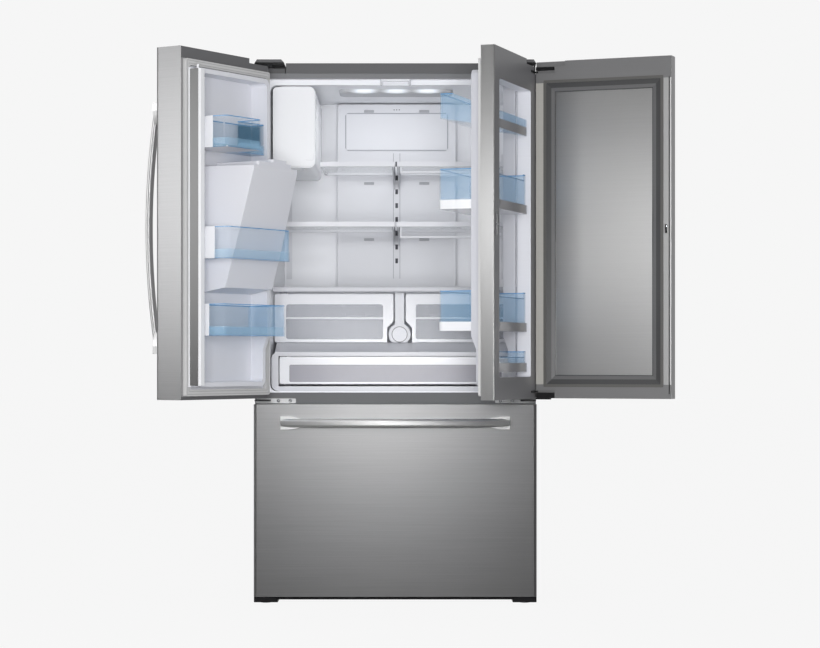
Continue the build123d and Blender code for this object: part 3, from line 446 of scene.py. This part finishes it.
class FRIDGE_OT_mouldings(bpy.types.Operator):
    """White, grey and black mouldings, liners and seals"""

    bl_idname = "fridge.mouldings"
    bl_label = "Mouldings"

    def execute(self, context):
        tone = context.scene.fridge_colours
        sheet = {"rough": (0.3, 0.38), "grit": 3.0, "spread": 0.01}
        gloss = {"rough": (0.18, 0.25), "grit": 4.0, "bump": 0.004, "spread": 0.01}
        for material, nodes in (
            # eroded moulding: flat dark grey
            (moulded("dark_grey_abs", tone.trim, (0.36, 0.46)), ("left_door_caps",)),
            # vacuum formed styrene sheet: even, with a soft sheen
            (moulded("white_freezer_sheet", tone.liner, **sheet), ("freezer_door_liner",)),
            (moulded("pale_grey_sheet_liner", linear("#c2c3ca"), **sheet), ("inner_door_liner",)),
            (
                moulded("white_cabinet_liner", linear("#f0f1f5"), **sheet),
                ("fridge_liner", "freezer_liner"),
            ),
            # polished mouldings: smooth whites with a clear sheen
            (
                moulded("gloss_white_abs", linear("#e4e5ea"), **gloss),
                ("shelf_frames", "flap_guide", "fridge_fan", "freezer_fan"),
            ),
            (
                moulded("white_ice_room_abs", linear("#f3f4f7"), **gloss),
                ("ice_room", "ice_bucket"),
            ),
            (
                moulded("pale_grey_gloss_abs", linear("#cbccd2"), **gloss),
                ("crisper_cover", "pantry_frame"),
            ),
            # eroded black mouldings, and the polished one round the dispenser
            (
                moulded("black_abs", linear("#161618"), (0.3, 0.4)),
                (
                    "toe_kick", "levelling_feet", "condenser_fan", "dispenser_lever",
                    "roller_left", "roller_right",
                ),
            ),
            (
                moulded("gloss_black_abs", linear("#101012"), (0.1, 0.16), grit=4.0, bump=0.003),
                ("dispenser_housing",),
            ),
            # fine eroded moulding: white with a satin sheen
            (
                moulded("satin_white_abs", linear("#dedfe4"), (0.3, 0.36), grit=2.0, spread=0.01),
                ("filter_housing",),
            ),
            # blown foam: yellowish, dull and full of pores
            (
                moulded(
                    "polyurethane_foam", linear("#d9cfa6"), (0.8, 0.95),
                    grit=6.0, bump=0.4, spread=0.12,
                ),
                ("insulation_body",),
            ),
        ):
            dress(material, *nodes)

        for node, body, rectangle, width, code in (
            ("left_gasket", "left_door", LEFT_SEAL, 20, "#c6c6c6"),
            ("inner_gasket", "inner_door", INNER_SEAL, 12, "#c6c6c6"),
            ("outer_gasket", "outer_door", OUTER_SEAL, 9, "#646361"),
            ("freezer_gasket", "cabinet", FREEZER_SEAL, 20, "#c6c6c6"),
        ):
            dress(door_seal(f"vinyl_seal_{body}", body, rectangle, width, linear(code)), node)

        # eroded moulding: dark grey, with black skirts over the hinge arms
        material, tree, surface = start("dark_grey_abs_black_skirt")
        where = place(tree)
        skirts = [
            region(tree, where, x=side, z=(1720, 1731.5)) for side in ((-460, -356), (356, 460))
        ]
        shade = paint(tree, tone.trim, *((skirt, linear("#1a1a1b")) for skirt in skirts))
        grain(tree, surface, where, (1.2,) * 3, shade, (0.36, 0.46), spread=0.03, bump=0.01)
        dress(material, "top_covers")

        # formed sheet: white, turning to the door's grey round the outside of the seal
        material, tree, surface = start("white_liner_grey_flange")
        where = place(tree, "left_door")
        flange = add_node(
            tree, "ShaderNodeMath", {"operation": "GREATER_THAN"},
            i0=rim(tree, where, *LEFT_SEAL), i1=-1.0,
        ).outputs[0]
        shade = paint(tree, tone.liner, (flange, linear("#8f8f90")))
        grain(tree, surface, where, (3, 3, 3), shade, (0.3, 0.38), spread=0.01, bump=0.01)
        dress(material, "left_door_liner")

        # eroded moulding: light grey, with painted shade as an outline round the raised plate
        material, tree, surface = start("light_grey_back_panel")
        where = place(tree)
        line = add_node(
            tree, "ShaderNodeMath", {"operation": "MULTIPLY"},
            i0=band(tree, where, BACK_PLATE, -2.0, 1.8), i1=region(tree, where, y=(556, 558.5)),
        ).outputs[0]
        shade = paint(tree, linear("#dddee3"), (line, linear("#a4a6ad")))
        grain(tree, surface, where, (1.2,) * 3, shade, (0.3, 0.4), spread=0.02, bump=0.01)
        dress(material, "duct_covers")

        # folding flap: white moulding with a brushed steel strip let into its outer face
        material, tree, surface = start("white_flap_with_steel")
        where = place(tree, "left_door")
        strip = region(tree, where, x=(-21.2, -19), y=(8.5, 40.2), z=(690, 1675))
        shade = paint(tree, linear("#e4e5e8"), (strip, linear("#868686")))
        grain(tree, surface, where, (1.5, 1.5, 60), shade, (0.36, 0.4), spread=0.02, bump=0.003)
        tree.links.new(strip, surface.inputs["Metallic"])
        dress(material, "mullion_flap")

        # coated frame of the door in door: flat grey, with a steel side and a painted highlight
        # along its free edge, a white reveal round the window and black hinge leaves
        material, tree, surface = start("grey_coated_inner_frame")
        where = place(tree, "inner_door")
        side = region(tree, where, x=(-2, 3.5), y=(-54.5, 0))
        # painted highlight: the free edge is a brighter copy of the side's steel
        edge = region(tree, where, x=(-2, 4.6), y=(-57, -54.4))
        reveal = region(tree, where, x=(51.8, 402.2), y=(-55, 0), z=(723.8, 1636.2))
        leaves = [
            region(tree, where, x=(403, 460), y=(-70, -55.9), z=leaf)
            for leaf in ((1696, 1704), (672, 680))
        ]
        shade = paint(
            tree, linear("#7c7c7f"),
            (side, linear("#c8c8c8")), (edge, linear("#eeeeee")), (reveal, tone.liner),
            *((leaf, linear("#141416")) for leaf in leaves),
        )
        grain(tree, surface, where, BRUSH, shade, (0.32, 0.38), spread=0.04, bump=0.003)
        steel = add_node(tree, "ShaderNodeMath", {"operation": "MAXIMUM"}, i0=side, i1=edge)
        tree.links.new(steel.outputs[0], surface.inputs["Metallic"])
        dress(material, "inner_door_frame")

        # inner face of the outer door: grey mouldings and a dark bevel round a sunk panel of
        # brushed steel, with black hinge arms
        material, tree, surface = start("brushed_steel_inner_panel")
        where = place(tree, "outer_door")
        sunk, framed = (
            add_node(
                tree, "ShaderNodeMath", {"operation": "LESS_THAN"},
                i0=rim(tree, where, *rectangle), i1=0.5,
            ).outputs[0]
            for rectangle in (PANEL_FIELD, PANEL_FRAME)
        )
        bevel = add_node(
            tree, "ShaderNodeMath", {"operation": "SUBTRACT"}, i0=framed, i1=sunk
        ).outputs[0]
        free_edge = {"y": (-62, -57), "z": (670, 1667)}
        coats = [
            # lighter trim along the free edge, its tone raised further as a painted highlight
            (region(tree, where, x=(0, 7.6), **free_edge), "#cccccc"),
            (region(tree, where, x=(415, 460)), "#aeaca7"),  # strip on the hinge side
            (bevel, "#454546"),
            (band(tree, where, PANEL_FIELD, 7.0, 7.0), "#636364"),  # inner step of the bevel
            (band(tree, where, PANEL_FIELD, 1.4, 1.4), "#3a3a3b"),  # painted shade in the crease at its foot
            (sunk, "#bdbdbd"),
            (region(tree, where, z=(600, 699.5)), "#737374"),  # end caps
            (region(tree, where, z=(1664.5, 1800)), "#737374"),
            (region(tree, where, x=(7, 11), **free_edge), "#2c2c2d"),  # painted shade in the groove
        ] + [
            (region(tree, where, x=(385, 460), y=(-77, -58.6), z=arm), "#141416")
            for arm in ((1705, 1717), (650, 673))
        ]
        shade = paint(tree, linear("#a2a2a2"), *((mask, linear(code)) for mask, code in coats))
        grain(tree, surface, where, BRUSH, shade, (0.33, 0.39), spread=0.06, bump=0.002)
        tree.links.new(sunk, surface.inputs["Metallic"])
        dress(material, "outer_door_panel")
        return {"FINISHED"}


class FRIDGE_OT_clear(bpy.types.Operator):
    """Clear bins, drawers, shelves, the filter's knob and the lamp"""

    bl_idname = "fridge.clear"
    bl_label = "Clear parts"

    def execute(self, context):
        tone = context.scene.fridge_colours
        # grey is painted shade, on the fronts of the white trays and on the tilted bin's band
        white, grey = "#e9eaee", "#98989c"

        # tinted clear styrene: each bin has a dark line at its rim and at its foot
        rims = [(*LEFT_BIN_SPAN, (top - 3, top + 2)) for _, _, top in LEFT_BINS]
        rims += [(*LEFT_BIN_SPAN, (low - 2, low + 1.6)) for _, low, _ in LEFT_BINS]
        bases = [(*LEFT_BIN_SPAN, (low - 2, low + 28)) for _, low, _ in LEFT_BINS]
        ends = [((-390, -368), (-40, 140), (800, 1390))]
        solids = [(white, ((-62, -58), (-30, reach), (low, top))) for reach, low, top in LEFT_BINS]
        # opaque floor of the deep end of the top bin, painted grey as the shade on its underside
        solids.append(("#d0d1d6", ((-238, -62), (-28, 118), (1424, 1428.2))))
        dress(
            bin_styrene(
                "blue_styrene_left_bins", "left_door", tone.bins, rims, bases, ends, solids
            ),
            "left_bins",
        )

        # the inner door's level bins stand on white trays whose fronts are painted grey as shade,
        # and the tilted one has a band painted grey as shade
        tops = [TILTED_BIN_TOP] + [top for _, top in INNER_BINS]
        rims = [(*INNER_BIN_SPAN, (top - 3, top + 2)) for top in tops]
        rims += [((80, 360), (-48, -42), (top - 21, top - 17)) for _, top in INNER_BINS]
        ends = [(x, (-60, 160), (700, 1620)) for x in ((50, 74), (370, 390))]
        solids = [
            (code, ((40, 400), reach, (low - 2, low + 28)))
            for low, _ in INNER_BINS
            for code, reach in ((grey, (-50, -41)), (white, (-41, 160)))
        ]
        solids.append((grey, ((40, 400), (-50, -42.5), (1488, 1518))))
        dress(
            bin_styrene(
                "blue_styrene_inner_bins", "inner_door", tone.bins, rims, [], ends, solids
            ),
            "inner_bins",
        )

        # clear tubs behind solid white front frames
        dress(
            drawer_styrene(
                "clear_styrene_crisper", 0.3, linear("#dfe2ea"), linear("#dfe0e5"),
                ((-500, 500), (140, 160.4), (800, 1000)),
            ),
            "left_crisper", "right_crisper",
        )
        dress(
            drawer_styrene(
                "clear_styrene_pantry", 0.45, linear("#c9c8d2"), linear("#e2e3e8"),
                ((-500, 500), (30, 40.2), (690, 800)),
            ),
            "pantry_drawer",
        )
        # thick clear walls: milky, and nearly white edge-on
        dress(
            clear_wall("clear_styrene_freezer", linear("#e6ecf2"), 0.2, 0.7),
            "freezer_basket", "freezer_drawer",
        )
        # float glass: all but invisible face-on, with a green-white edge
        dress(
            clear_wall(
                "tempered_glass", linear("#e2ebea"), 0.06, 0.3, rough=0.03, ior=GLASS_IOR
            ),
            "shelf_glass",
        )

        # filter: smooth white moulding with painted shade in the joint between its knob and the
        # housing
        material, tree, surface = start("white_filter_cap")
        where = place(tree)
        flat = add_node(
            tree, "ShaderNodeVectorMath", {"operation": "MULTIPLY"}, i0=where, i1=(1, 0, 1)
        ).outputs[0]
        radius = add_node(
            tree, "ShaderNodeVectorMath", {"operation": "DISTANCE"}, i0=flat, i1=filter_axis()
        ).outputs["Value"]
        joint_shade = add_node(
            tree, "ShaderNodeMath", {"operation": "COMPARE"},
            i0=radius, i1=FILTER_JOINT * MM, i2=1.3 * MM,
        ).outputs[0]
        shade = paint(tree, linear("#e2e3e8"), (joint_shade, linear("#77797e")))
        grain(tree, surface, where, (2, 2, 2), shade, (0.24, 0.3), spread=0.01, bump=0.005)
        dress(material, "water_filter")

        # frosted acrylic lens: milky, with the soft glow of three lamps behind it
        material, tree, surface = start("frosted_lamp_lens", Emission_Strength=1.0)
        where = place(tree)
        glow = None
        for spot in LAMP_SPOTS:
            away = add_node(
                tree, "ShaderNodeVectorMath", {"operation": "DISTANCE"},
                i0=where, i1=Vector(spot) * MM,
            )
            near = add_node(
                tree, "ShaderNodeMapRange", {"interpolation_type": "SMOOTHSTEP"},
                Value=away.outputs["Value"],
                From_Min=0.056, From_Max=0.006, To_Min=0.0, To_Max=0.75,
            ).outputs[0]
            glow = near if glow is None else add_node(
                tree, "ShaderNodeMath", {"operation": "MAXIMUM"}, i0=glow, i1=near
            ).outputs[0]
        grain(
            tree, surface, where, (3, 3, 3), linear("#b9babe"), (0.4, 0.5), spread=0.02, bump=0.01
        )
        lit = paint(tree, linear("#000000"), (glow, linear("#e8eef4")))
        tree.links.new(lit, surface.inputs["Emission Color"])
        dress(material, "ceiling_lamp")
        return {"FINISHED"}


# ---------------------------------------------------------------- small parts


def block(bm, x, y, z, bevel=0.0):
    """Add a box from ranges in millimetres, with rounded edges."""
    made = bmesh.ops.create_cube(bm, size=1.0)["verts"]
    size = Vector([(high - low) * MM for low, high in (x, y, z)])
    middle = Vector([(low + high) / 2 * MM for low, high in (x, y, z)])
    bmesh.ops.scale(bm, vec=size, verts=made)
    bmesh.ops.translate(bm, vec=middle, verts=made)
    if bevel:
        bmesh.ops.bevel(
            bm, geom=list({edge for vert in made for edge in vert.link_edges}), offset=bevel * MM,
            segments=3, profile=0.5, affect="EDGES", material=-1, clamp_overlap=True,
        )


FACING = {
    "front": Matrix.Rotation(math.pi / 2, 4, "X"),
    "back": Matrix.Rotation(-math.pi / 2, 4, "X"),
    "up": Matrix.Identity(4),
}


def button(bm, centre, radius, height, facing, dish=0.0):
    """Add a round head with a softened edge and an optional dished middle, in millimetres."""
    others = set(bm.verts)
    made = bmesh.ops.create_circle(bm, cap_ends=True, segments=32, radius=radius * MM)["verts"]
    face = made[0].link_faces[0]
    if face.normal.z < 0:
        bmesh.ops.reverse_faces(bm, faces=[face])
    face = bmesh.ops.extrude_discrete_faces(bm, faces=[face])["faces"][0]
    bmesh.ops.translate(bm, vec=(0, 0, height * 0.7 * MM), verts=face.verts)
    for inset, rise in ((radius * 0.12, height * 0.3), (radius * 0.35, -dish)):
        bmesh.ops.inset_individual(bm, faces=[face], thickness=inset * MM)
        bmesh.ops.translate(bm, vec=(0, 0, rise * MM), verts=face.verts)
    bmesh.ops.transform(
        bm, matrix=Matrix.Translation(Vector(centre) * MM) @ FACING[facing],
        verts=[vert for vert in bm.verts if vert not in others],
    )


def piece(name, bm, body=None, slot=None):
    """Turn a bmesh, drawn with its door shut, into an object at rest that rides on a body."""
    if body in FROM_SHUT:
        bmesh.ops.transform(bm, matrix=FROM_SHUT[body], verts=bm.verts)
    bmesh.ops.recalc_face_normals(bm, faces=bm.faces)
    for face in bm.faces:
        face.smooth = True
    for edge in bm.edges:
        edge.smooth = edge.is_manifold and edge.calc_face_angle(0.0) < math.radians(30)
    mesh = bpy.data.meshes.new(name)
    bm.to_mesh(mesh)
    bm.free()
    obj = bpy.data.objects.new(name, mesh)
    bpy.context.scene.collection.objects.link(obj)
    if body:
        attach(obj, body)
    return obj


class FRIDGE_OT_screws(bpy.types.Operator):
    """Screws of the hinge plates, top covers and back"""

    bl_idname = "fridge.screws"
    bl_label = "Screws"

    def execute(self, context):
        # bright zinc plate: light and shiny
        steel = cast_metal("zinc_plated_screw", linear("#b9babb"), (0.2, 0.3))
        back = machine_back()
        for name, spots, radius, facing in (
            (
                "hinge_plate_screws",
                [(side * x, -2.9, 645.5) for side in (-1, 1) for x in (340, 378)], 5.5, "front",
            ),
            ("top_cover_screws", [(side * 405, 40, 1740.8) for side in (-1, 1)], 4.5, "up"),
            (
                "rear_cover_screws",
                [(x, back, z) for x in (-430, -215, 0, 215, 430) for z in (44, 318)], 4.5, "back",
            ),
        ):
            bm = bmesh.new()
            for spot in spots:
                button(bm, spot, radius, 2.0, facing, dish=1.2)
            screws = piece(name, bm, "cabinet", "galvanised")
            dress(steel, screws)
        return {"FINISHED"}


class FRIDGE_OT_interior(bpy.types.Operator):
    """Ladder slots, vent grilles, sensor holes and drawer ribs of the fresh food space"""

    bl_idname = "fridge.interior"
    bl_label = "Interior details"

    def execute(self, context):
        # inserts for the slots of the middle ladder: dark and dull, as shaded openings look
        bm = bmesh.new()
        for row in range(8):
            level = 1122 + 48 * row
            block(bm, (-4.5, 4.5), (SLOT_FACE, SLOT_FACE + 1.4), (level - 8.5, level + 8.5), 0.3)
        slots = piece("ladder_slots", bm, "cabinet", "back_panel")
        dress(moulded("shaded_slot", linear("#515258"), (0.6, 0.7)), slots)

        # vents in the rear wall: a sunk tray of dull grey plastic with seven bars across it
        bm = bmesh.new()
        for level in VENT_LEVELS:
            for middle in (-VENT_SIDE, VENT_SIDE):
                block(
                    bm, (middle - 17.5, middle + 17.5), (562.4, 563.8), (level - 4.6, level + 4.6)
                )
                for step in range(-3, 4):
                    bar = middle + step * 4.6
                    block(bm, (bar - 0.8, bar + 0.8), (560.4, 562.6), (level - 4.4, level + 4.4))
        grilles = piece("vent_grilles", bm, "cabinet", "back_panel")
        dress(moulded("grey_vent_abs", linear("#b3b5bb"), (0.4, 0.5)), grilles)

        # sensor holes: dull dark dots, painted shade that stands in for the holes
        bm = bmesh.new()
        for x in (-9, 0, 9):
            button(bm, (x, 559.9, 1647), 1.8, 0.5, "front")
        dots = piece("sensor_holes", bm, "cabinet", "back_panel")
        dress(moulded("dark_sensor_abs", linear("#4c4d52"), (0.5, 0.6)), dots)

        # ribs across the windows of the crisper fronts: glossy white
        for name, body, x in (
            ("left_crisper_rib", "left_crisper", (-360, -44)),
            ("right_crisper_rib", "right_crisper", (68, 360)),
        ):
            bm = bmesh.new()
            block(bm, x, (157.5, 161.5), (912.5, 917.5), 1.2)
            rib = piece(name, bm, body, "white_plastic")
            dress(moulded(f"white_rib_{body}", linear("#e6e7ec"), (0.2, 0.28)), rib)
        return {"FINISHED"}


class FRIDGE_OT_doors(bpy.types.Operator):
    """Catch of the door in door, and the dispenser's panel"""

    bl_idname = "fridge.doors"
    bl_label = "Door details"

    def execute(self, context):
        # catch on the outer door's free edge: glossy black acetal round a chromed keeper
        bm = bmesh.new()
        block(bm, (16.2, 23.8), (-66.4, -63.8), (1176.2, 1203.8), 0.6)
        catch = piece("door_catch", bm, "outer_door", "black_plastic")
        dress(moulded("black_acetal_catch", linear("#121214"), (0.2, 0.3)), catch)
        bm = bmesh.new()
        block(bm, (17.4, 22.6), (-64.2, -63.2), (1194.5, 1202.5), 0.4)
        keeper = piece("catch_keeper", bm, "outer_door", "chrome")
        dress(cast_metal("bright_catch_keeper", linear("#e9eaec"), (0.08, 0.12)), keeper)

        # dispenser: black backed glass with sharp reflections and five printed touch dots
        bm = bmesh.new()
        block(bm, (-315, -139), (-112.9, -111.3), (1348, 1432), 0.7)
        glass = piece("dispenser_glass", bm, "left_door", "black_plastic")
        dress(moulded("smoked_glass", linear("#0b0b0d"), (0.03, 0.05), grit=20, bump=0.001), glass)
        bm = bmesh.new()
        for step in range(5):
            button(bm, (-279 + step * 26, -112.8, 1372), 3.2, 0.5, "front", dish=0.3)
        keys = piece("dispenser_touch_dots", bm, "left_door", "black_plastic")
        dress(moulded("printed_touch_dots", linear("#b8babd"), (0.3, 0.4)), keys)
        return {"FINISHED"}


# ---------------------------------------------------------------- studio


class StudioSettings(bpy.types.PropertyGroup):
    """Camera and backdrop of the studio."""

    distance: bpy.props.FloatProperty(
        name="Camera distance", description="From the cabinet's front edge to the camera",
        default=7.4555, unit="LENGTH",
    )
    height: bpy.props.FloatProperty(
        name="Camera height", description="Above the floor", default=0.7763, unit="LENGTH",
    )
    side: bpy.props.FloatProperty(
        name="Camera side step", description="To the right of the middle", default=0.056,
        unit="LENGTH",
    )
    lens: bpy.props.FloatProperty(
        name="Focal length", description="For a 36 mm wide sensor", default=101.22,
        subtype="DISTANCE_CAMERA",
    )
    shift_side: bpy.props.FloatProperty(
        name="Side shift", description="Share of the width that the view is moved sideways",
        default=-0.0034, subtype="FACTOR",
    )
    shift_up: bpy.props.FloatProperty(
        name="Rise", description="Share of the width that the view is moved up",
        default=0.0443, subtype="FACTOR",
    )
    paper: bpy.props.FloatVectorProperty(
        name="Backdrop", description="Pale studio paper", subtype="COLOR", size=4,
        default=linear("#f6f6f6"),
    )


# name, place, spot aimed at, width and height, power in watts, whether it shows in reflections
SOFTBOXES = (
    ("freezer_glow", (-0.06, -2.7, 0.78), (0, -0.1, 0.5), (0.6, 0.4), 7.0, True),
    ("panel_glow", (-0.75, -2.4, 1.34), (0.55, -0.1, 1.15), (0.8, 0.3), 4.4, True),
    ("left_side", (-3.4, -1.6, 1.5), (-0.8, -0.5, 1.2), (0.9, 1.2), 12, True),
    ("fill_front", (0.1, -6.2, 1.1), (0, 0, 1.0), (2.4, 1.8), 212, False),
    ("fridge_lamp", (0, 0.222, 1.655), (0, 0.222, 0.0), (0.34, 0.12), 0.9, False),
)
# parts of the room: axis of the direction looked in, where it starts and ends, least and most light
ROOM = (
    ("Z", -0.2, 0.8, 0.035, 0.5),  # overhead, as the steel mirrors it
    ("Y", -0.1, 0.6, 0.0, 0.35),  # behind the refrigerator
    ("Z", -0.3, -0.8, 0.0, 0.22),  # floor
    ("Z", 0.4, 1.0, 0.28, 0.7),  # ceiling, as it lights dull surfaces
)


def softbox(name, at, aim, size, power, mirrored):
    """A rectangular area light that points at a spot and may stay out of reflections."""
    data = bpy.data.lights.new(name, "AREA")
    data.shape = "RECTANGLE"
    data.size, data.size_y = size
    data.energy = power
    lamp = bpy.data.objects.new(name, data)
    lamp.location = at
    lamp.rotation_euler = (Vector(aim) - Vector(at)).to_track_quat("-Z", "Y").to_euler()
    lamp.visible_camera = False
    lamp.visible_glossy = mirrored
    bpy.context.scene.collection.objects.link(lamp)


class FRIDGE_OT_studio(bpy.types.Operator):
    """Pale floor, soft lights and the camera"""

    bl_idname = "fridge.studio"
    bl_label = "Studio"

    def execute(self, context):
        studio = context.scene.fridge_studio
        scene = context.scene
        scene.view_settings.view_transform = "Standard"
        bm = bmesh.new()
        bmesh.ops.create_circle(bm, cap_ends=True, segments=64, radius=40)
        floor = piece("floor", bm)
        # matt paper, lit evenly from behind: it takes only a faint shadow
        material, tree, surface = start(
            "pale_floor", Base_Color=linear("#262626"), Roughness=1.0, Specular_IOR_Level=0.0,
            Emission_Color=studio.paper, Emission_Strength=0.985,
        )
        dress(material, floor)
        floor.visible_glossy = False
        floor.visible_diffuse = False

        # the camera sees plain paper, steel mirrors a dim room, and dull surfaces take soft light
        world = bpy.data.worlds.new("studio")
        scene.world = world
        world.use_nodes = True
        tree = world.node_tree
        tree.nodes.clear()
        path = add_node(tree, "ShaderNodeLightPath")
        axes = add_node(
            tree, "ShaderNodeSeparateXYZ", None,
            Vector=add_node(tree, "ShaderNodeTexCoord").outputs["Generated"],
        )
        overhead, rear, ground, ceiling = (
            add_node(
                tree, "ShaderNodeMapRange", {"interpolation_type": "SMOOTHSTEP"},
                Value=axes.outputs[axis],
                From_Min=nearest, From_Max=furthest, To_Min=least, To_Max=most,
            ).outputs[0]
            for axis, nearest, furthest, least, most in ROOM
        )
        low = add_node(tree, "ShaderNodeMath", {"operation": "ADD"}, i0=rear, i1=ground).outputs[0]
        mirrored, lit = (
            add_node(
                tree, "ShaderNodeBackground", None, Color=linear("#ffffff"),
                Strength=add_node(
                    tree, "ShaderNodeMath", {"operation": "ADD"}, i0=high, i1=low
                ).outputs[0],
            ).outputs[0]
            for high in (overhead, ceiling)
        )
        paper = add_node(tree, "ShaderNodeBackground", None, Color=studio.paper, Strength=1.0)
        room = add_node(
            tree, "ShaderNodeMixShader", None,
            i0=path.outputs["Is Glossy Ray"], i1=lit, i2=mirrored,
        )
        seen = add_node(
            tree, "ShaderNodeMixShader", None,
            i0=path.outputs["Is Camera Ray"], i1=room.outputs[0], i2=paper.outputs[0],
        )
        add_node(tree, "ShaderNodeOutputWorld", None, Surface=seen.outputs[0])

        for light in SOFTBOXES:
            softbox(*light)

        data = bpy.data.cameras.new("camera")
        data.sensor_width = 36
        data.lens = studio.lens
        data.shift_x = studio.shift_side
        data.shift_y = studio.shift_up
        camera = bpy.data.objects.new("camera", data)
        camera.location = (studio.side, -studio.distance, studio.height)
        camera.rotation_euler = (math.pi / 2, 0, 0)
        scene.collection.objects.link(camera)
        scene.camera = camera
        return {"FINISHED"}


class FRIDGE_PT_panel(bpy.types.Panel):
    """Lists the refrigerator's operators"""

    bl_label = "Refrigerator"
    bl_idname = "FRIDGE_PT_panel"
    bl_space_type = "VIEW_3D"
    bl_region_type = "UI"
    bl_category = "Refrigerator"

    def draw(self, context):
        for operator in OPERATORS:
            self.layout.operator(operator.bl_idname)


OPERATORS = (
    FRIDGE_OT_steel,
    FRIDGE_OT_mouldings,
    FRIDGE_OT_clear,
    FRIDGE_OT_screws,
    FRIDGE_OT_interior,
    FRIDGE_OT_doors,
    FRIDGE_OT_studio,
)
GROUPS = {"fridge_colours": FinishColours, "fridge_studio": StudioSettings}


def register():
    """Register the classes and hang the property groups on the scene."""
    for item in (*GROUPS.values(), *OPERATORS, FRIDGE_PT_panel):
        bpy.utils.register_class(item)
    for name, group in GROUPS.items():
        setattr(bpy.types.Scene, name, bpy.props.PointerProperty(type=group))


def unregister():
    """Undo register."""
    for name in GROUPS:
        delattr(bpy.types.Scene, name)
    for item in (FRIDGE_PT_panel, *reversed(OPERATORS), *GROUPS.values()):
        bpy.utils.unregister_class(item)


def main():
    """Build every piece."""
    register()
    for operator in OPERATORS:
        group, name = operator.bl_idname.split(".")
        getattr(getattr(bpy.ops, group), name)()


if __name__ == "__main__":
    main()
